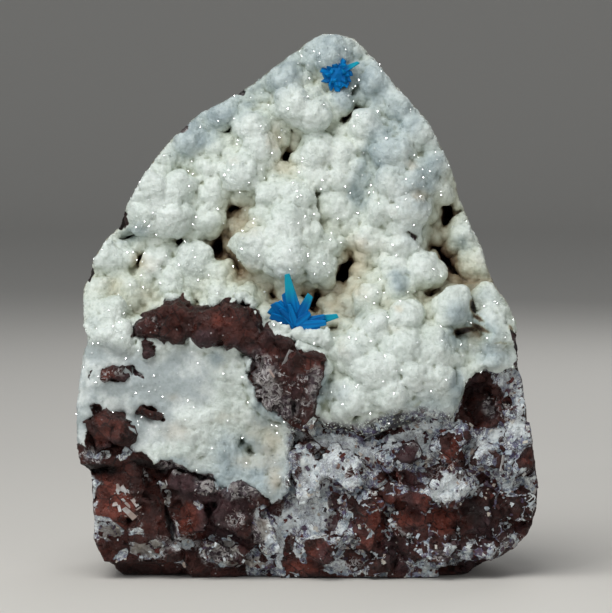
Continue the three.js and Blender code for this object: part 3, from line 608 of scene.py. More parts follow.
# white areas of the rock and the breccia: x, z, half-width, half-height, lean, strength
whiteMarks = [
    (-32, 12.4, 0.9, 4.4, 0, 1.3), (-30.4, 8.8, 2.4, 0.7, -14, 1), (-31.6, 7, 0.7, 1.8, 0, 1.2),
    (-27.6, 3.6, 1.4, 0.7, 28, 0.6), (-25.4, 7.5, 1.2, 0.35, -10, 1), (-18.4, 5, 2, 0.7, -8, 0.9),
    (-18.9, 2.1, 1.2, 0.35, 0, 1), (-11.3, 4.7, 0.9, 0.6, -20, 0.9), (-15.6, 3.6, 0.4, 1.6, 20, 0.8),
    (-4.3, 3.5, 0.5, 2.6, 0, 1), (-1.6, 4.1, 0.8, 1.2, 20, 0.8), (-10.6, 9.2, 1.5, 1.1, 0, 1),
    (-6.2, 6.4, 0.5, 1.6, 30, 0.8), (-7.7, 10, 0.4, 1.4, 0, 0.8), (-6.5, 29.4, 1.6, 2.6, 10, 1),
    (20.3, 13.8, 2.8, 2.3, 0, 1.2), (25, 19.5, 2.4, 1.6, 10, 0.8), (3, 17, 3.8, 2.6, 0, 1),
    (8, 18.6, 3, 1.3, -20, 0.6), (0.4, 12.4, 2.6, 3.4, 0, 0.8), (-4, 8, 2, 3.6, 0, 0.6),
    (28.6, 21.8, 2.4, 1, 10, 0.8), (12, 20, 3, 0.8, 20, 0.5), (17.6, 22.6, 2.6, 1, 10, 0.7),
    (6.4, 14.4, 1.6, 1, 0, 0.5), (17.6, 18.4, 1, 1.4, 0, 0.6), (29, 13.6, 1.4, 1.2, 0, 0.6),
    (5.4, 2.2, 3, 1.2, 0, 0.9), (0.8, 8.8, 2.6, 2, 0, 0.9), (13.6, 20.8, 2.2, 0.9, 10, 0.9),
    (17, 20.4, 1.8, 1.2, 0, 0.7), (3.4, 20.6, 3.6, 0.9, 0, 0.8), (-1.6, 20.6, 1, 1.6, 0, 0.8),
    (19.4, 17, 1.2, 1.4, 0, 0.5), (1.4, 29, 0.9, 3, 0, 0.7), (-5.4, 27.2, 1.6, 1.2, 0, 0.8),
    (-28, 30.8, 1.6, 0.8, 0, 0.8), (-30, 30, 0.8, 0.8, 0, 0.8), (-19, 5.6, 1.8, 1.2, 0, 0.8),
    (28.6, 29.2, 1, 1.6, -30, 0.9), (12.8, 7.6, 2.8, 0.5, -35, 0.8), (5, 7.4, 1, 1.4, 0, 0.5),
    (24.4, 13.2, 1.2, 0.8, 0, 0.5), (31, 25, 1.2, 4, 0, 0.8),
]

# hollows between the lumps: x, z, half-width, half-height, lean, depth in mm
hollows = [
    (-3, 62, 0.9, 1.5, -30, 6), (-1.2, 65.3, 1.5, 0.55, -12, 5), (0.9, 65.6, 1, 0.55, 35, 5),
    (5.6, 67.5, 0.9, 0.5, 45, 5), (7.4, 68.9, 1.4, 0.7, 28, 5), (6, 70.7, 1.2, 0.8, 30, 2.6),
    (7.5, 72.3, 0.7, 1.2, -20, 2.2), (-11.8, 65.9, 0.7, 0.7, 0, 3.4), (-11.2, 54.3, 1.5, 0.7, 10, 5),
    (-18.9, 49.1, 1, 0.95, -25, 5), (-14.6, 50.2, 0.8, 0.55, 0, 4), (-13.4, 48.2, 0.85, 1.3, -20, 5),
    (-11, 46.2, 0.45, 1.5, 32, 2.8), (5.2, 44.6, 0.85, 2.3, -18, 6), (4.4, 43, 0.8, 0.9, 0, 4),
    (20.6, 54.6, 0.9, 1.3, 20, 6), (20.1, 52.2, 0.7, 1.3, 0, 5), (18.2, 48.1, 1, 0.9, -30, 5),
    (22.3, 51.6, 0.6, 2, 0, 3.4), (20, 46.2, 0.7, 1.5, 38, 5), (21.6, 44.2, 0.5, 1, 40, 4),
    (-24.7, 46.6, 0.7, 1.1, -35, 4.4), (-26.3, 44.7, 0.4, 0.35, 0, 2.6), (-26.8, 49.9, 1.2, 0.6, 20, 3.6),
    (1, 40.4, 0.8, 1.4, 10, 4.8), (-5.2, 41.5, 0.9, 0.6, 0, 3.6), (-1.3, 41.2, 0.5, 0.6, 0, 3.6),
    (3.6, 37.3, 0.9, 0.5, 15, 4), (18.2, 42, 1, 0.4, 20, 2.6), (23.9, 39.9, 0.4, 1.3, 8, 3),
    (25, 36.6, 1.5, 0.9, 10, 2.6), (9.8, 32, 0.55, 0.5, 0, 3), (13.5, 30.5, 0.7, 0.5, 0, 3.2),
    (6.4, 24.2, 0.8, 0.6, 0, 2.6), (18.8, 30.3, 0.4, 0.35, 0, 2.4), (21.5, 35.9, 2.2, 0.45, 8, 2.2),
    (-9.9, 20.1, 0.5, 1, -25, 3), (-8.7, 18.6, 0.7, 1.2, 30, 4), (-4.5, 13.8, 0.6, 1.6, 0, 1.6),
    (1, 54.8, 0.4, 1.6, 0, 2), (-17, 51.4, 0.5, 0.4, 0, 1.6),
]
# cracks and holes, pushed back in the rock and painted dark as shade: x, z, half-width, half-height, lean,
# depth in mm
shadedCracks = [
    (8.6, 20.6, 1.3, 0.35, 20, 1.2), (10.6, 21.4, 1.2, 0.45, 25, 1.6), (12.4, 22.6, 0.9, 0.5, 45, 1.5),
    (12.9, 24.2, 0.35, 1.1, -20, 1.4), (14.4, 23.4, 0.7, 0.3, 20, 1), (9.4, 22.8, 0.8, 0.25, -50, 0.8),
    (15.7, 26, 0.7, 0.25, 35, 0.8), (-2.3, 25.4, 0.35, 1.3, 0, 1.6), (-1.8, 23.6, 0.6, 0.5, 0, 1),
    (23.2, 27.4, 0.8, 1.6, -20, 0.8), (31.4, 15.3, 1.5, 0.3, 8, 1.2), (-23.4, 17.2, 2.2, 0.5, -10, 1.6),
    (-30.6, 16.4, 2.6, 0.8, -6, 2), (-21.4, 16, 0.8, 0.5, 0, 1.4), (24, 10, 2, 2.6, 0, 1.2),
    (6.6, 5.6, 0.9, 0.8, 0, 1), (23.8, 40.2, 0.35, 1, 10, 2.6), (24.8, 38.4, 0.9, 0.3, -30, 2),
    (28, 34.9, 1.6, 0.18, -4, 1.8), (29.4, 37, 0.3, 0.6, 30, 1.8), (25.2, 36.9, 1.6, 0.4, -25, 2),
    (25.6, 36, 2.2, 1.6, 0, 1), (22.6, 36.6, 1.6, 0.4, 12, 2), (12.6, 2.4, 0.5, 1.3, 0, 1.2),
    (-20.4, 8, 0.5, 3.2, 12, 1.8), (-21, 4.8, 1.2, 0.3, 0, 0.8), (-7.2, 8.4, 0.3, 1.4, 20, 0.8),
]

# round lumps of the crust: x, z, radius
lumps = [
    (3, 77, 3.2), (-3.6, 73.6, 2.6), (9.6, 73, 2.6), (-12.6, 68, 2.4), (-17.6, 64, 2.6), (-22, 60.6, 2.4),
    (13.2, 69.6, 2.4), (16.2, 65.6, 2.6), (18.8, 61, 2.4), (19.2, 56.8, 2.2), (22.6, 50.2, 2.4),
    (24.4, 45.8, 2.4), (-2.2, 69.4, 2.9), (0.6, 68.2, 2.6), (-8.2, 66, 2.6), (-7.6, 62.8, 2.5),
    (-10, 59.4, 2.8), (-13.6, 63.2, 2), (-23.4, 57.2, 3.2), (-19.4, 57.2, 2.8), (-24, 53.2, 2.8),
    (-20, 53, 3.4), (-15, 60, 2.3), (-14.6, 56, 2.8), (-15, 52.6, 2.5), (-16.8, 46.6, 3),
    (-13.6, 44.8, 2.2), (-20.2, 43.2, 2.4), (-22.4, 46.4, 2.2), (-29.8, 46.8, 2.9), (-26.8, 42.6, 2.2),
    (-31, 42, 2.2), (-29.4, 38.2, 3.2), (1.4, 62.4, 3), (4.9, 62.6, 2.6), (8.2, 66.4, 2.5), (4.6, 70, 2),
    (0.4, 58.8, 2.6), (4.8, 58.6, 2.6), (-4.2, 59.8, 1.4), (-6, 56.2, 1.9), (-3.4, 56, 2.4), (-1, 55.6, 2),
    (-6.4, 53.2, 2.2), (-3, 53.2, 2.6), (-0.6, 53, 2), (-7.2, 48.4, 3), (-3.4, 47.2, 2.9), (1.2, 45.8, 2.7),
    (2.9, 48.6, 2.3), (3.6, 54.4, 2.6), (11.6, 62.2, 2.6), (11.8, 58, 2.5), (15, 58, 2.3), (14.8, 54, 2.8),
    (10.8, 54, 2.3), (9, 50, 2.6), (13.6, 49, 2.6), (16.6, 45.2, 2.5), (12.8, 45.4, 2.6), (8.8, 41, 2.4),
    (21.1, 40.3, 2.9), (26.2, 41, 2.7), (27, 37.4, 2.3), (14.2, 38, 2.8), (10, 37, 2.5), (6.8, 34.2, 2.7),
    (14, 34, 3), (18, 35, 2.9), (9.6, 30.8, 3.3), (15.2, 30.4, 2.4), (6.6, 27, 3.1), (12, 27.4, 2.7),
    (19.2, 29.8, 2.4), (27.4, 32.4, 2),
    # smaller ones on and between them
    (-6.5, 70.4, 1.7), (-9.4, 69.8, 1.4), (-15.4, 66.6, 1.4), (-11.8, 63.9, 1.5), (-19.4, 61.6, 1.5),
    (-17.6, 60.4, 1.7), (-2.4, 59.4, 1.3), (-12.6, 58.6, 1.1), (-11.4, 56, 1.2), (-17.4, 50.4, 1.5),
    (-17.4, 48.8, 1.1), (-12.6, 53, 1.1), (-24.8, 48.7, 1.2), (-22.6, 49.4, 1.4), (-20.5, 47.6, 1.5),
    (-26.6, 47, 1.4), (-12, 45.8, 1.3), (-17.2, 43.6, 1.6), (-15.4, 42.8, 1.5), (-24, 43.6, 1.9),
    (-28.8, 44.2, 1.3), (-31.6, 44.6, 1.2), (-31.6, 39.6, 1.7), (-26, 40, 1.8), (-24, 40.4, 1.1),
    (-27, 37.2, 1.4), (-13.2, 42.4, 1.5), (-11, 41.8, 1.4), (-8.8, 42, 1.2), (-7, 41.4, 1.1),
    (2.7, 65.5, 1.2), (4.9, 65.6, 1.1), (7, 60, 1.8), (7.8, 63.6, 1.8), (-3.4, 50.4, 2.3), (0.6, 51, 1.7),
    (-9.6, 49.2, 1.8), (-11.4, 48.9, 1.4), (-1, 49.3, 2.3), (-5.6, 50.6, 1.6), (2.6, 44, 1.5),
    (3.4, 51.6, 1.4), (-5, 46, 1.6), (6.6, 52.4, 1.6), (8.6, 56.4, 1.5), (13.4, 63, 1.7), (9, 59.6, 1.2),
    (13.4, 60.2, 1.6), (16.4, 60.4, 1.3), (17.8, 53.4, 1.4), (12.6, 51.6, 1.6), (16.6, 50.4, 1.2),
    (6.8, 49.2, 1.3), (10.4, 46.8, 1.5), (18.8, 45, 1.6), (14.6, 42.8, 1.5), (21.4, 48.6, 1.7),
    (23.8, 48, 1.5), (23.4, 45, 1.6), (22.8, 52.4, 1.2), (21.8, 55, 1), (17.6, 63.4, 1.5), (15, 67.6, 1.6),
    (11.4, 71.4, 1.6), (10.6, 69, 1.7), (12.6, 66.4, 1.9), (10.6, 65, 1.4), (7.6, 74.6, 1.6),
    (6.6, 77, 1.6), (0.4, 76, 1.8), (-1, 73.2, 1.6), (2, 71.8, 1.4), (-6.4, 72.8, 1.3), (-21, 62.6, 1.2),
    (3, 40.3, 1.5), (4.4, 42.2, 1.2), (6.8, 43, 1.1), (7.4, 41.4, 1), (11.4, 40.8, 1.7), (17.4, 38.8, 2),
    (16.2, 41, 1.3), (12, 34.6, 1.7), (16.4, 33, 1.6), (20.6, 32.4, 2), (7.8, 37.4, 1.4), (11.8, 31.6, 1.7),
    (7.2, 30.4, 2), (9.4, 28, 1.8), (14.4, 28.2, 1.5), (16.8, 28, 1.4), (5, 25.4, 1.9), (28.6, 35.8, 1.4),
    (24.4, 38.6, 1.2), (28.4, 39.4, 1.3), (24.6, 42.6, 1.1), (19.4, 38.4, 1),
    # the fringe of small ones along the ledge
    (-9, 41, 0.9), (-7.6, 39.6, 0.8), (-6.4, 38.2, 0.9), (-5.2, 37.2, 0.8), (-4, 36.8, 0.9),
    (-2.8, 36.4, 0.9), (-1.4, 36, 0.9), (0, 35.8, 1), (1.4, 35.3, 1), (2.6, 34.8, 1), (3.7, 33.8, 0.9),
    (4, 32.2, 0.9), (3.6, 30.8, 0.8), (-16.4, 40.8, 1), (-15, 40.4, 0.9), (-22.8, 40.4, 0.9),
    (-20.8, 41.6, 0.8), (-24.6, 38.8, 0.8), (-13.8, 41.2, 0.8),
]


edgeWander = (1.3, 0.45)  # size and reach in mm of what makes the drawn edges ragged


def edgeNoise(points, size, reach):  # sideways wander that makes a drawn edge ragged
    return reach * perPoint(points, lambda p: noise.noise_vector(p / size))


def veinAt(x, z):  # 1 inside the vein, 0 outside
    return smoothstep(-1, 1.5, deepest([veinEdge], x, z))


def depthOf(marks, x, z):  # how far the hollows go in, in mm
    depth = np.zeros(x.shape)
    for *mark, deep in marks:
        depth = np.maximum(depth, deep * (1 - smoothstep(0.35, 1.6, np.hypot(*withinMark(x, z, *mark)))))
    return depth


boxSlack = dict(front=0.7, base=0.02)  # mm that points may stand before the frame's box, and above its base


def keptInside(points, slack):  # draws what stands past the trimmed edge back to it
    x, z = points[:, 0] - shift, points[:, 2]
    depth = depthIn(outerEdge, x, z)
    out = np.where(depth < slack)[0]
    inset = slack[out]
    best = np.full(len(out), 1e9)
    target = points[out][:, [0, 2]].copy()
    for (ax, az), (bx, bz) in zip(outerEdge, outerEdge[1:] + outerEdge[:1]):
        ex, ez = bx - ax, bz - az
        px, pz = x[out], z[out]
        t = np.clip(((px - ax) * ex + (pz - az) * ez) / (ex * ex + ez * ez), 0, 1)
        qx, qz = ax + t * ex, az + t * ez
        length = math.hypot(ex, ez)
        qx, qz = qx + inset * ez / length, qz - inset * ex / length
        away = (px - qx) ** 2 + (pz - qz) ** 2
        closer = away < best
        best[closer] = away[closer]
        target[closer] = np.stack([qx + shift, qz], 1)[closer]
    points[out, 0], points[out, 2] = target[:, 0], np.maximum(target[:, 1], boxSlack["base"])
    low, high = np.array(cadBox[0]) / toMetres, np.array(cadBox[1]) / toMetres
    return np.clip(points, low - (0, boxSlack["front"], 0), high)


softMarks = dict(grey=greyMarks, brick=brickMarks, tan=tanMarks, rocky=rockyMarks, white=whiteMarks)


def frontMarks(piece, points):  # the drawn areas as attributes: mm inside the rock, and the soft zones
    wander = edgeNoise(points, *edgeWander) + edgeNoise(points, 0.5, 0.22)
    x, z = points[:, 0] - shift + wander[:, 0], points[:, 2] + wander[:, 2]
    rock = np.minimum(deepest(rockPatches, x, z), -deepest(paleScraps, x, z))
    attach(piece, "rock", rock)
    attach(piece, "vein", veinAt(x, z))
    scraps = smoothstep(-0.8, -0.3, deepest(paleScraps[:-1], x, z))
    attach(piece, "breccia", np.maximum(smoothstep(-0.8, 0.8, deepest([brecciaEdge], x, z)), scraps))
    for name, marks in softMarks.items():
        attach(piece, name, marksAt(marks, x, z))
    return rock


def hollowness(points, reach=3.2):  # how far each point lies behind the foremost of its surroundings, in mm
    left, columns, rows = -36, 144, 164
    i = np.clip(((points[:, 0] - left) / gridCell).astype(int), 0, columns - 1)
    k = np.clip((points[:, 2] / gridCell).astype(int), 0, rows - 1)
    front = np.full((columns, rows), 1e3)
    np.minimum.at(front, (i, k), points[:, 1])
    wide = int(reach / gridCell)
    for axis in (0, 1):
        front = np.min([np.roll(front, s, axis) for s in range(-wide, wide + 1)], axis=0)
    for axis in (0, 1):
        front = np.mean([np.roll(front, s, axis) for s in range(-wide, wide + 1)], axis=0)
    return points[:, 1] - front[i, k]


def trimmedTo(piece, limit, back):  # thins the hidden side until the piece is under its limit of triangles
    count = sum(len(face.vertices) - 2 for face in piece.data.polygons)
    if count <= limit:
        return piece
    group = piece.vertex_groups.new(name="hidden")
    for weight in (0.25, 0.5, 0.75, 1.0):
        chosen = np.where(np.round(back * 4) / 4 == weight)[0]
        group.add(chosen.tolist(), weight, "REPLACE")
    thin = piece.modifiers.new("thin", "DECIMATE")
    thin.ratio = limit / count
    thin.vertex_group = "hidden"
    thin.vertex_group_factor = 4
    applied(piece)
    piece.vertex_groups.clear()
    return piece


print("zeolite crust")
crustLook = dict(
    cell=0.31,  # mm of detail
    limit=195000,  # triangles
    bed=0.4,  # how much the crust between the lumps is built up
    proud=0.34,  # how far a lump stands before the solid's own
    bedCell=0.45,  # mm of detail of the bed under the lumps
    fill=360,  # small lumps that fill the gaps between the drawn ones
    area=((-33, 31), (12, 79.5)),  # x and z that they are drawn from
    tries=14,  # random places for each of them, of which the free ones are taken
    small=(0.9, 1.9),  # their radii
    apart=0.62,  # how far from each other they stand, for the sum of two radii
    ball=0.88,  # size of the ball in the middle of a lump, for its radius
    sunk=0.3,  # how far a small lump's middle lies behind the solid's face, for its radius
    knobs=5.4,  # knobs on each lump, for its size
    knobOut=0.7,  # how far out they stand, for the lump's radius
    knobSizes=(0.28, 0.47),  # their radii, for the lump's
    swell=0.24,  # mm by which the whole skin grows
    behindRock=1.4,  # mm by which the crust lies back where rock shows
    warp=((4.4, 0.5), (1.6, 0.22)),  # size and reach of what makes the lumps uneven
    grit=(0.8, 0.36),  # size and height of the finest knobs
    ragged=0.8,  # how uneven the trimmed edge is
    plug=0.9,  # size of the knobs that close the crust round the rock
    plugBand=(-0.9, 0.1),  # mm inside the rock's edge from which and up to which they stand
    plugRounds=30,  # grid steps that the face goes on over each hole
    deepestFace=-3,  # y behind which the solid's crust counts as a hole
    veinRounds=14,  # how much the vein is smoothed
    # the line that knobs over the foot of the blue laths follow: x, z
    fringe=[(-5.2, 37.8), (-3.9, 37), (-2.8, 37.3), (-1.6, 36.9), (-0.2, 36.5), (1, 36.2), (2.2, 36.4),
            (3, 36.9)],
    fringeKnobs=(90, 0.16, 0.42, -16.3),  # count, radii, y of their face
    subsurface=0.2,
)


def fillers():  # lumps at random where no drawn lump is, off the vein, the rock and the hollows
    chosen = list(lumps)
    spare = []
    while len(spare) < crustLook["fill"] * crustLook["tries"]:
        spare.append([random.uniform(*ends) for ends in (*crustLook["area"], crustLook["small"])])
    x, z, size = np.array(spare).T
    free = (depthIn(outerEdge, x, z) > 0.6) & (deepest([veinEdge, brecciaEdge], x, z) < -0.4)
    free &= (deepest(rockPatches, x, z) < -0.7) & (depthOf(hollows, x, z) < 0.4)
    for x, z, size in np.array(spare)[free].tolist():
        if all(math.hypot(x - a, z - b) > crustLook["apart"] * (r + size) for a, b, r in chosen):
            chosen.append((x, z, size))
        if len(chosen) == len(lumps) + crustLook["fill"]:
            break
    return chosen


def crustBed():  # the solid's crust, deepened at the hollows
    shape = startFrom("zeolite_crust")
    solid = BVHTree.FromBMesh(shape)
    bed = remeshed(pieceOf(shape, "bed"), crustLook["bedCell"])
    points = relaxed(bed, readPoints(bed), 2, 0.5)
    wander = edgeNoise(points, 1.5, 0.6)
    x, z = points[:, 0] - shift, points[:, 2]
    druse = smoothstep(0.5, -1, deepest([veinEdge], x, z))
    writePoints(bed, points)
    points[:, 1] -= crustLook["bed"] * druse * smoothstep(0, 0.5, -readNormals(bed)[:, 1])
    points[:, 1] += depthOf(hollows, x + wander[:, 0], z + wander[:, 2])
    writePoints(bed, points)
    return bed, solid


def crustPlugs(solid):  # knobs that close the crust's holes up to the edge of the rock that shows
    x, z, face = frontOf(solid, -34, 34, 10, 80)
    face[~(face < crustLook["deepestFace"])] = np.nan
    covered = (depthIn(crustCover, x, z) > 0.3) & (depthIn(outerEdge, x, z) > 0.7)
    hole = np.isnan(face)
    for _ in range(crustLook["plugRounds"]):  # the face goes on over each hole, from its rim inwards
        rolled = np.stack([np.roll(face, way, (0, 1)) for way in ((0, 1), (0, -1), (1, 0), (-1, 0))])
        known = ~np.isnan(rolled)
        mean = np.where(known, rolled, 0).sum(0) / np.maximum(known.sum(0), 1)
        face = np.where(np.isnan(face) & known.any(0), mean, face)
    rock = deepest(rockPatches, x, z)
    low, high = crustLook["plugBand"]
    hole |= rock > low
    chosen = hole & covered & (rock < high) & (depthOf(hollows, x, z) < 0.3)
    return np.stack([x[chosen] + shift, face[chosen], z[chosen]], 1)


def crustLumps(solid):  # round lumps on the bed, each with knobs of its own
    draw = np.random.default_rng(seeds["knobs"])
    spots, sizes = [], []
    placedLumps = fillers()
    x, z, _ = np.array(placedLumps).T
    low = smoothstep(0.4, 0.7, marksAt(greyMarks, x, z)) * smoothstep(7, 4.5, depthIn(outerEdge, x, z))
    low = np.maximum(low, 0.9 * smoothstep(-0.5, 1, deepest([roughEdge], x, z)))
    for (x, z, radius), low in zip(placedLumps, low):
        hit = probe(solid, x, z)[0]
        if hit is None:
            continue
        sink = (1 - crustLook["proud"] if radius > crustLook["small"][1] else crustLook["sunk"]) + 0.22 * low
        middle = np.array((hit.x, hit.y + sink * radius, z))
        spots.append(middle)
        sizes.append(crustLook["ball"] * radius)
        for _ in range(int(crustLook["knobs"] * radius ** 1.3)):
            way = draw.normal(size=3)
            way /= np.linalg.norm(way)
            way[1] = -abs(way[1]) + 0.3
            spots.append(middle + crustLook["knobOut"] * radius * way)
            sizes.append(radius * draw.uniform(*crustLook["knobSizes"]) * (1 - 0.2 * low))
    for spot in crustPlugs(solid):
        size = crustLook["plug"] * draw.uniform(0.55, 1)
        spots.append(spot + draw.uniform(-0.2, 0.2, 3) + (0, 0.62 * size, 0))
        sizes.append(size)
    count, small, large, face = crustLook["fringeKnobs"]
    path = np.array(crustLook["fringe"])
    for along in draw.uniform(0, len(path) - 1, count):
        x, z = path[int(along)] + (along % 1) * (path[int(along) + 1] - path[int(along)])
        below = draw.uniform(-0.45, 1.7)
        spots.append(np.array((x + shift, face - 0.25 * below + draw.uniform(-0.2, 0.3), z - below)))
        sizes.append(draw.uniform(small, large))
    ball = bmesh.new()
    bmesh.ops.create_icosphere(ball, subdivisions=3, radius=1)
    return tiled(ball, np.array(spots), np.array(sizes), anyTurns(draw, len(spots)), "lumps")


def buildCrust():
    bed, solid = crustBed()
    balls = crustLumps(solid)
    whole = bmesh.new()
    for part in (bed, balls):
        whole.from_mesh(part.data)
        bpy.data.objects.remove(part)
    piece = remeshed(pieceOf(whole, "zeolite_lining"), crustLook["cell"])
    points = relaxed(piece, readPoints(piece), 2, 0.5)
    x, z = points[:, 0] - shift, points[:, 2]
    vein = veinAt(x, z)[:, None]
    points = relaxed(piece, banked(points), crustLook["veinRounds"], 0.5 * vein)
    for size, reach in crustLook["warp"]:
        points = points + reach * (1 - 0.6 * vein) * perPoint(points, lambda p: noise.noise_vector(p / size))
    writePoints(piece, points)
    normals = readNormals(piece)
    x, z = points[:, 0] - shift, points[:, 2]
    front = smoothstep(-0.2, 0.3, -normals[:, 1])
    size, height = crustLook["grit"]
    near = perPoint(points, lambda p: noise.voronoi(p / size)[0][0])
    rise = height * (0.3 - near ** 2) * (1 - 0.8 * vein[:, 0])
    rise += 0.08 * perPoint(points, lambda p: noise.fractal(p / 1.1, 0.9, 2.1, 3))
    points = points + normals * (crustLook["swell"] + rise * (0.3 + 0.7 * front))[:, None]
    wander = edgeNoise(points, *edgeWander)
    rock = deepest(rockPatches, x + wander[:, 0], z + wander[:, 2])
    points[:, 1] += crustLook["behindRock"] * smoothstep(-0.15, 0.6, rock)
    uneven = perPoint(points, lambda p: abs(noise.noise(p / 0.9)) + 0.5 * abs(noise.noise(p / 2.6)))
    points = keptInside(points, 0.02 + crustLook["ragged"] * uneven)
    writePoints(piece, points)
    trimmedTo(piece, crustLook["limit"], smoothstep(-0.3, 0.6, normals[:, 1]))
    points = readPoints(piece)
    frontMarks(piece, points)
    x, z = points[:, 0] - shift, points[:, 2]
    # the hollow and crease attributes drive the crust's painted shade: depth behind the surroundings, the
    # cracks, and depth in creases
    attach(piece, "hollow", hollowness(points) + depthOf(shadedCracks, x, z) * 2.5)
    attach(piece, "crease", creases(piece, points))
    return piece


bankedPatches = [*rockPatches[:7], *rockPatches[8:10], *rockPatches[17:18]]  # those that the crust rises to


def banked(points):  # the crust rises to the edge of the rock that breaks through it
    rock = BVHTree.FromBMesh(startFrom("basalt_matrix"))
    left, low = -35, 8
    x, z, face = frontOf(rock, left, 35, low, 82)
    face = np.nan_to_num(face)
    for axis in (0, 1):
        face = np.min([np.roll(face, way, axis) for way in range(-3, 4)], axis=0)
    i = np.clip(((points[:, 0] - shift - left) / gridCell).round().astype(int), 0, x.shape[0] - 1)
    k = np.clip(((points[:, 2] - low) / gridCell).round().astype(int), 0, x.shape[1] - 1)
    depth = deepest(bankedPatches, points[:, 0] - shift, points[:, 2])
    uneven = perPoint(points, lambda p: 0.5 + noise.noise(p / 1.6))
    pull = smoothstep(-1.5, -0.2, depth) * smoothstep(0, -2.5, points[:, 1]) * np.clip(uneven, 0.1, 1)
    points[:, 1] += pull * np.clip(face[i, k] + 0.9 - points[:, 1], -3, 0)
    return points


def creases(piece, points):  # how deep each point lies in a crease of the surface, in tenths of a millimetre
    tenths = 10
    near = relaxed(piece, points, 6, 0.6)
    inward = np.sum((near - points) * readNormals(piece), 1) * tenths
    return relaxed(piece, np.repeat(inward[:, None], 3, 1), 2, 0.5)[:, 0]


crustMarks = ("grey", "tan", "vein", "hollow", "crease")  # the attributes that the colours of the crust read


def zeoliteColours(board):
    grey, warm, vein, hollow, crease = (board.attribute(name) for name in crustMarks)
    blotch = board.cloud(5, 4, 0.6)
    milky = board.mix(board.step(blotch, 0.3, 0.7), tone(225, 233, 230), tone(208, 218, 213))
    # greyer, bluer crust where the grey marks lie; over the shaded parts of the crust this is painted shade
    cool = board.mix(board.patches(0.35, 0.65, 2.2), tone(158, 173, 178), tone(190, 203, 205))
    milky = board.mix(board.step(grey + 0.35 * (blotch - 0.5), 0.1, 0.8), milky, cool)
    glassy = board.mix(board.patches(0.4, 0.66, 3.6, 5, 0.62), tone(166, 176, 178), tone(212, 219, 218))
    milky = board.mix(vein, milky, glassy)
    dusted = board.tinted(milky, tone(236, 238, 236))
    milky = board.mix(board.patches(0.35, 0.62, 0.7, 4, 0.7), dusted, milky)
    stain = board.step(warm + 0.5 * (board.cloud(1.6, 4) - 0.5), 0.1, 1.1)
    milky = board.mix(stain * 0.6, milky, tone(202, 189, 164))
    # painted shade: the crust darkens to olive grey the deeper a point lies in a crease
    creaseShade = board.step(crease, 0.05, 1.5) * (1 - 0.6 * vein)
    milky = board.tinted(milky, board.mix(creaseShade, tone(255, 255, 255), tone(170, 172, 154)))
    # painted shade: the crust darkens through tan and brown to near black the further it lies behind its
    # surroundings, and in the cracks
    shade = hollow + 1.1 * (board.cloud(2.6, 2) - 0.5)
    hollowShade = board.ramp(board.step(shade, 0.8, 9.8), (0, tone(255, 255, 255)), (0.12, tone(252, 252, 248)),
                      (0.28, tone(238, 236, 224)), (0.44, tone(214, 206, 188)), (0.6, tone(166, 144, 118)),
                      (0.8, tone(104, 76, 60)), (1, tone(60, 42, 34)))
    return board.tinted(milky, hollowShade)


def brecciaColours(board):  # pale cement with flecks and scraps of rock in it, and painted shade in the cracks and hollows
    chunks = board.ramp(board.lots(0.9), (0, tone(224, 232, 232)), (0.36, tone(178, 196, 206)),
                        (0.56, tone(204, 200, 190)), (0.68, tone(134, 140, 160)), (0.8, tone(84, 66, 84)),
                        (0.9, tone(72, 36, 34)))
    cement = board.mix(board.patches(0.38, 0.58, 1.6, 4, 0.65), tone(142, 156, 168), tone(224, 230, 228))
    chunks = board.mix(board.patches(0.44, 0.56, 2.8, 3), cement, chunks)
    white = board.step(board.attribute("white") + 0.9 * (board.cloud(1.2, 4, 0.65) - 0.5), 0.4, 0.55)
    chunks = board.mix(white * 0.85, chunks, tone(226, 234, 236))
    for size, wide, low in ((1.6, 0.05, 0.4), (0.7, 0.05, 0.44)):
        fleck = board.step(board.thread(size, 5, 0.7, 0.9), wide, wide * 0.3)
        fleck = fleck * board.patches(low, low + 0.1, 2.4 * size, 2)
        dark = board.mix(board.patches(0.4, 0.6, 0.9, 2), tone(56, 38, 50), tone(84, 80, 116))
        chunks = board.mix(fleck * (0.9 - 0.45 * white), chunks, dark)
    ash = board.mix(board.patches(0.35, 0.65, 0.8, 3), tone(118, 110, 100), tone(158, 153, 146))
    stained = board.step(board.attribute("tan") + 0.5 * (board.cloud(1, 4) - 0.5), 0.3, 0.6)
    chunks = board.mix(stained * 0.85, chunks, ash)
    # painted shade: near black where the hollow attribute is deep
    return board.mix(board.step(board.attribute("hollow"), 1.6, 3.6) * 0.9, chunks, tone(22, 16, 20))


def fragmentMask(board):  # where the breccia shows a fragment: angular cells with ragged edges
    bend = board.cloud(0.9, 4, 0.7, output=1)
    reach = (0.6 * toMetres,) * 3
    place = board.vectors("MULTIPLY_ADD", bend, reach, board.place)
    rocky, white = board.attribute("rocky"), board.attribute("white")
    masks = []
    for size, share in ((3.2, 0.24), (1.3, 0.2)):
        lot = board.lots(size, place)
        chance = share + 0.42 * rocky - 0.3 * white
        edge = board.step(board.cells(size, "DISTANCE_TO_EDGE", place=place), 0.04, 0.07)
        masks.append((chance - lot > 0) * edge)
    return board.maths("MAXIMUM", *masks)


